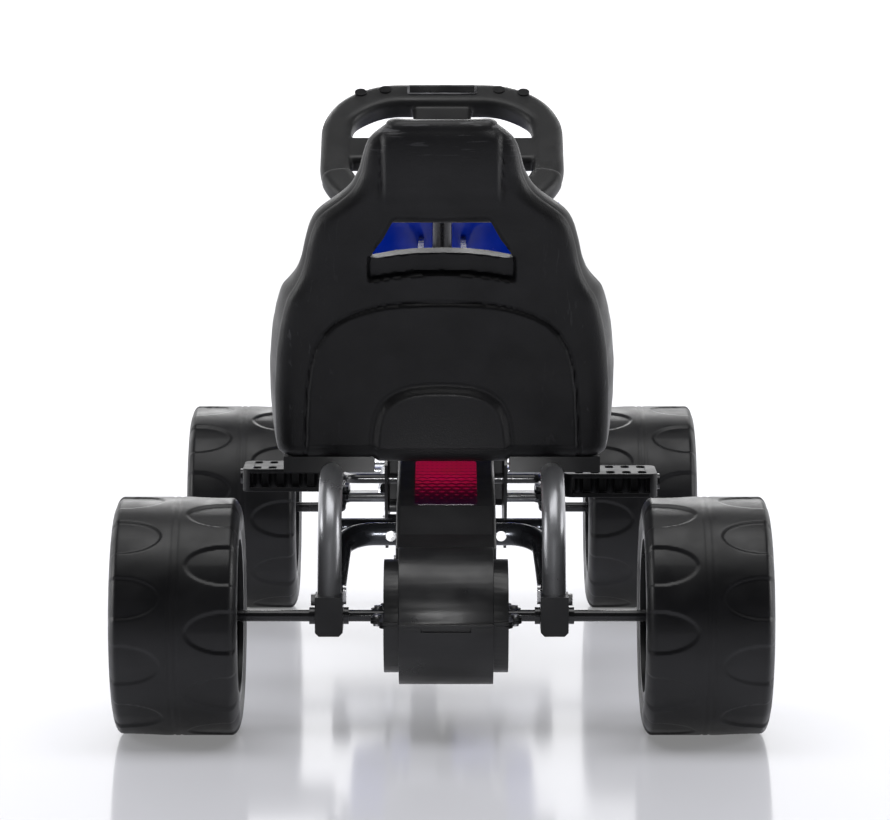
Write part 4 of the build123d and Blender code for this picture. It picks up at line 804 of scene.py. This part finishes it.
def tread_cut(s, theta):
    """Depth of the tread pattern at s along the axle and theta round it."""
    depth = TREAD_GROOVE * np.exp(-((np.abs(s) - 3.4) / 1.0) ** 2)
    pitch = 2 * math.pi / POCKETS
    for side, start in ((-1, math.pi - math.radians(1.6)), (1, math.pi - math.radians(18.0))):
        around = ((theta - start + pitch / 2) % pitch - pitch / 2) * TYRE_RADIUS
        reach = np.clip((POCKET_END - s * side) / (POCKET_END - POCKET_START), 0.0, 1.0)
        half = POCKET_HALF * np.sqrt(np.clip(1.0 - reach ** 2.0, 0.0, 1.0))
        slope = np.clip(half / POCKET_HALF, 0.25, 1.0)
        edge = np.where(s * side > POCKET_START, (half - np.abs(around)) * slope, -9.0)
        pocket = smoothstep(edge, -0.3, 1.3)
        bank = 0.75 + 0.35 * np.clip(np.abs(around) / POCKET_HALF, 0, 1)
        depth = depth + POCKET_DEPTH * pocket * bank
    return depth


def make_tyre(side, y, x):
    """Points and faces of a tyre whose centre is at (x, y)."""
    profile = tyre_profile()
    count = 420
    theta = np.linspace(0, 2 * math.pi, count, endpoint=False)
    radius = np.repeat(profile[:, 0][:, None], count, axis=1)
    axial = np.repeat(profile[:, 1][:, None], count, axis=1)
    around = np.repeat(theta[None, :], len(profile), axis=0)
    treads = radius > 100.0
    cut = tread_cut(axial, around) * smoothstep(radius, 97.0, 107.0)
    radius = radius - np.where(treads, cut, 0.0)
    px = x + side * axial / 1000
    py = y + radius * np.cos(around) / 1000
    pz = TYRE_RADIUS / 1000 + radius * np.sin(around) / 1000
    points = np.stack((px, py, pz), axis=-1).reshape(-1, 3)
    faces = grid_faces(len(profile), count, wrap_cols=True, wrap_rows=True)
    return points, faces


for end in ("front", "rear"):
    for word, side in (("left", -1), ("right", 1)):
        low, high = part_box(f"tyre_{end}_{word}")
        centre_x = (low[0] + high[0]) / 2
        centre_y = (low[1] + high[1]) / 2
        body = "rear_axle" if end == "rear" else f"wheel_front_{word}"
        points, faces = make_tyre(side, centre_y, centre_x)
        tyre = mesh_object(f"tread_{end}_{word}", points, faces, tyre_plastic, body, smooth_angle=62.0)
        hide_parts(f"tyre_{end}_{word}")


# ------------------------------------------------------------------ softened edges on the CAD pieces
SHARP_FROM = 33.0  # degrees between faces from which an edge is rounded


def soften(name, width):
    """Weld a CAD node's split edges and round its sharp ones, as modifiers only."""
    obj = nodes[name]
    weld = obj.modifiers.new("weld", "WELD")
    weld.merge_threshold = 0.00002
    bevel = obj.modifiers.new("round", "BEVEL")
    bevel.width = width
    bevel.segments = 3
    bevel.limit_method = "ANGLE"
    bevel.angle_limit = math.radians(SHARP_FROM)
    bevel.harden_normals = True
    bevel.use_clamp_overlap = True


CASE_ROUND, COVER_ROUND, SMALL_ROUND = 0.006, 0.0035, 0.0012
for covered in ("gear_case_upper", "gear_case_lower"):
    soften(covered, CASE_ROUND)
for covered in ("chain_cover", "crank_cowl"):
    soften(covered, COVER_ROUND)
for covered in ("bearing_block_left", "bearing_block_right", "pedal_left", "pedal_right", "front_fairing"):
    soften(covered, SMALL_ROUND)


# ------------------------------------------------------------------ floor, light and camera
def plain(name, color, roughness):
    """A nearly even surface for the studio."""
    finish = Finish(name, color, roughness)
    finish.rough(finish.noise(3.0, 4.0), roughness - 0.02, roughness + 0.03)
    return finish


def stage_sheet(name, corners, color, roughness, glow):
    """A plain sheet of the studio, its own pale glow standing for a lit sweep."""
    mesh = bpy.data.meshes.new(name)
    mesh.from_pydata(corners, [], [(0, 1, 2, 3)])
    obj = bpy.data.objects.new(name, mesh)
    scene.collection.objects.link(obj)
    finish = plain(name, color, roughness)
    finish.shader.inputs["Emission Color"].default_value = (1.0, 1.0, 1.0, 1.0)
    finish.shader.inputs["Emission Strength"].default_value = glow
    paint(obj, finish)


stage_sheet("floor", [(-14, -8, -0.0002), (14, -8, -0.0002), (14, 9, -0.0002), (-14, 9, -0.0002)],
            (0.78, 0.785, 0.86), 0.10, 0.20)
stage_sheet("backdrop", [(-14, 9, -0.01), (14, 9, -0.01), (14, 9, 9), (-14, 9, 9)],
            (0.8, 0.8, 0.8), 0.9, 1.0)


def area_light(name, location, target, size, power):
    """A rectangular softbox, turned to face a target."""
    data = bpy.data.lights.new(name, "AREA")
    data.shape = "RECTANGLE"
    data.size, data.size_y = size
    data.energy = power
    obj = bpy.data.objects.new(name, data)
    obj.location = location
    obj.rotation_euler = (Vector(target) - Vector(location)).to_track_quat("-Z", "Y").to_euler()
    scene.collection.objects.link(obj)


area_light("top", (0.0, -0.5, 2.6), (0, 0, 0.2), (2.4, 1.6), 33)
area_light("front", (0.0, 3.0, 2.0), (0, 0, 0.3), (2.8, 0.9), 40)
area_light("left", (-2.8, 0.1, 0.9), (0, 0, 0.3), (1.3, 1.5), 26)
area_light("right", (2.8, 0.1, 0.9), (0, 0, 0.3), (1.3, 1.5), 26)
# A snooted lamp reaches in under the seat, onto the chain cover and its decal.
snoot_data = bpy.data.lights.new("snoot", "SPOT")
snoot_data.energy = 560
snoot_data.spot_size = math.radians(3.7)
snoot_data.spot_blend = 1.0
snoot_data.shadow_soft_size = 0.06
snoot = bpy.data.objects.new("snoot", snoot_data)
snoot.location = (0.0, -3.4, 0.62)
snoot.rotation_euler = (Vector((0.0, -0.15, 0.185)) - snoot.location).to_track_quat("-Z", "Y").to_euler()
scene.collection.objects.link(snoot)
world = bpy.data.worlds.new("world")
scene.world = world
world.use_nodes = True
world.node_tree.nodes["Background"].inputs["Color"].default_value = (1.0, 1.0, 1.0, 1.0)
world.node_tree.nodes["Background"].inputs["Strength"].default_value = 0.05
scene.view_settings.view_transform = "Standard"

CAMERA_PLACE = (0.003063, -4.14099, 0.767617)
CAMERA_TILT = 82.998
CAMERA_LENS = 164.75
camera_data = bpy.data.cameras.new("camera")
camera_data.lens = CAMERA_LENS
camera_data.sensor_width = 36.0
camera_data.sensor_fit = "HORIZONTAL"
camera_data.clip_end = 60.0
camera = bpy.data.objects.new("camera", camera_data)
camera.location = CAMERA_PLACE
camera.rotation_euler = (math.radians(CAMERA_TILT), 0.0, 0.0)
scene.collection.objects.link(camera)
scene.camera = camera
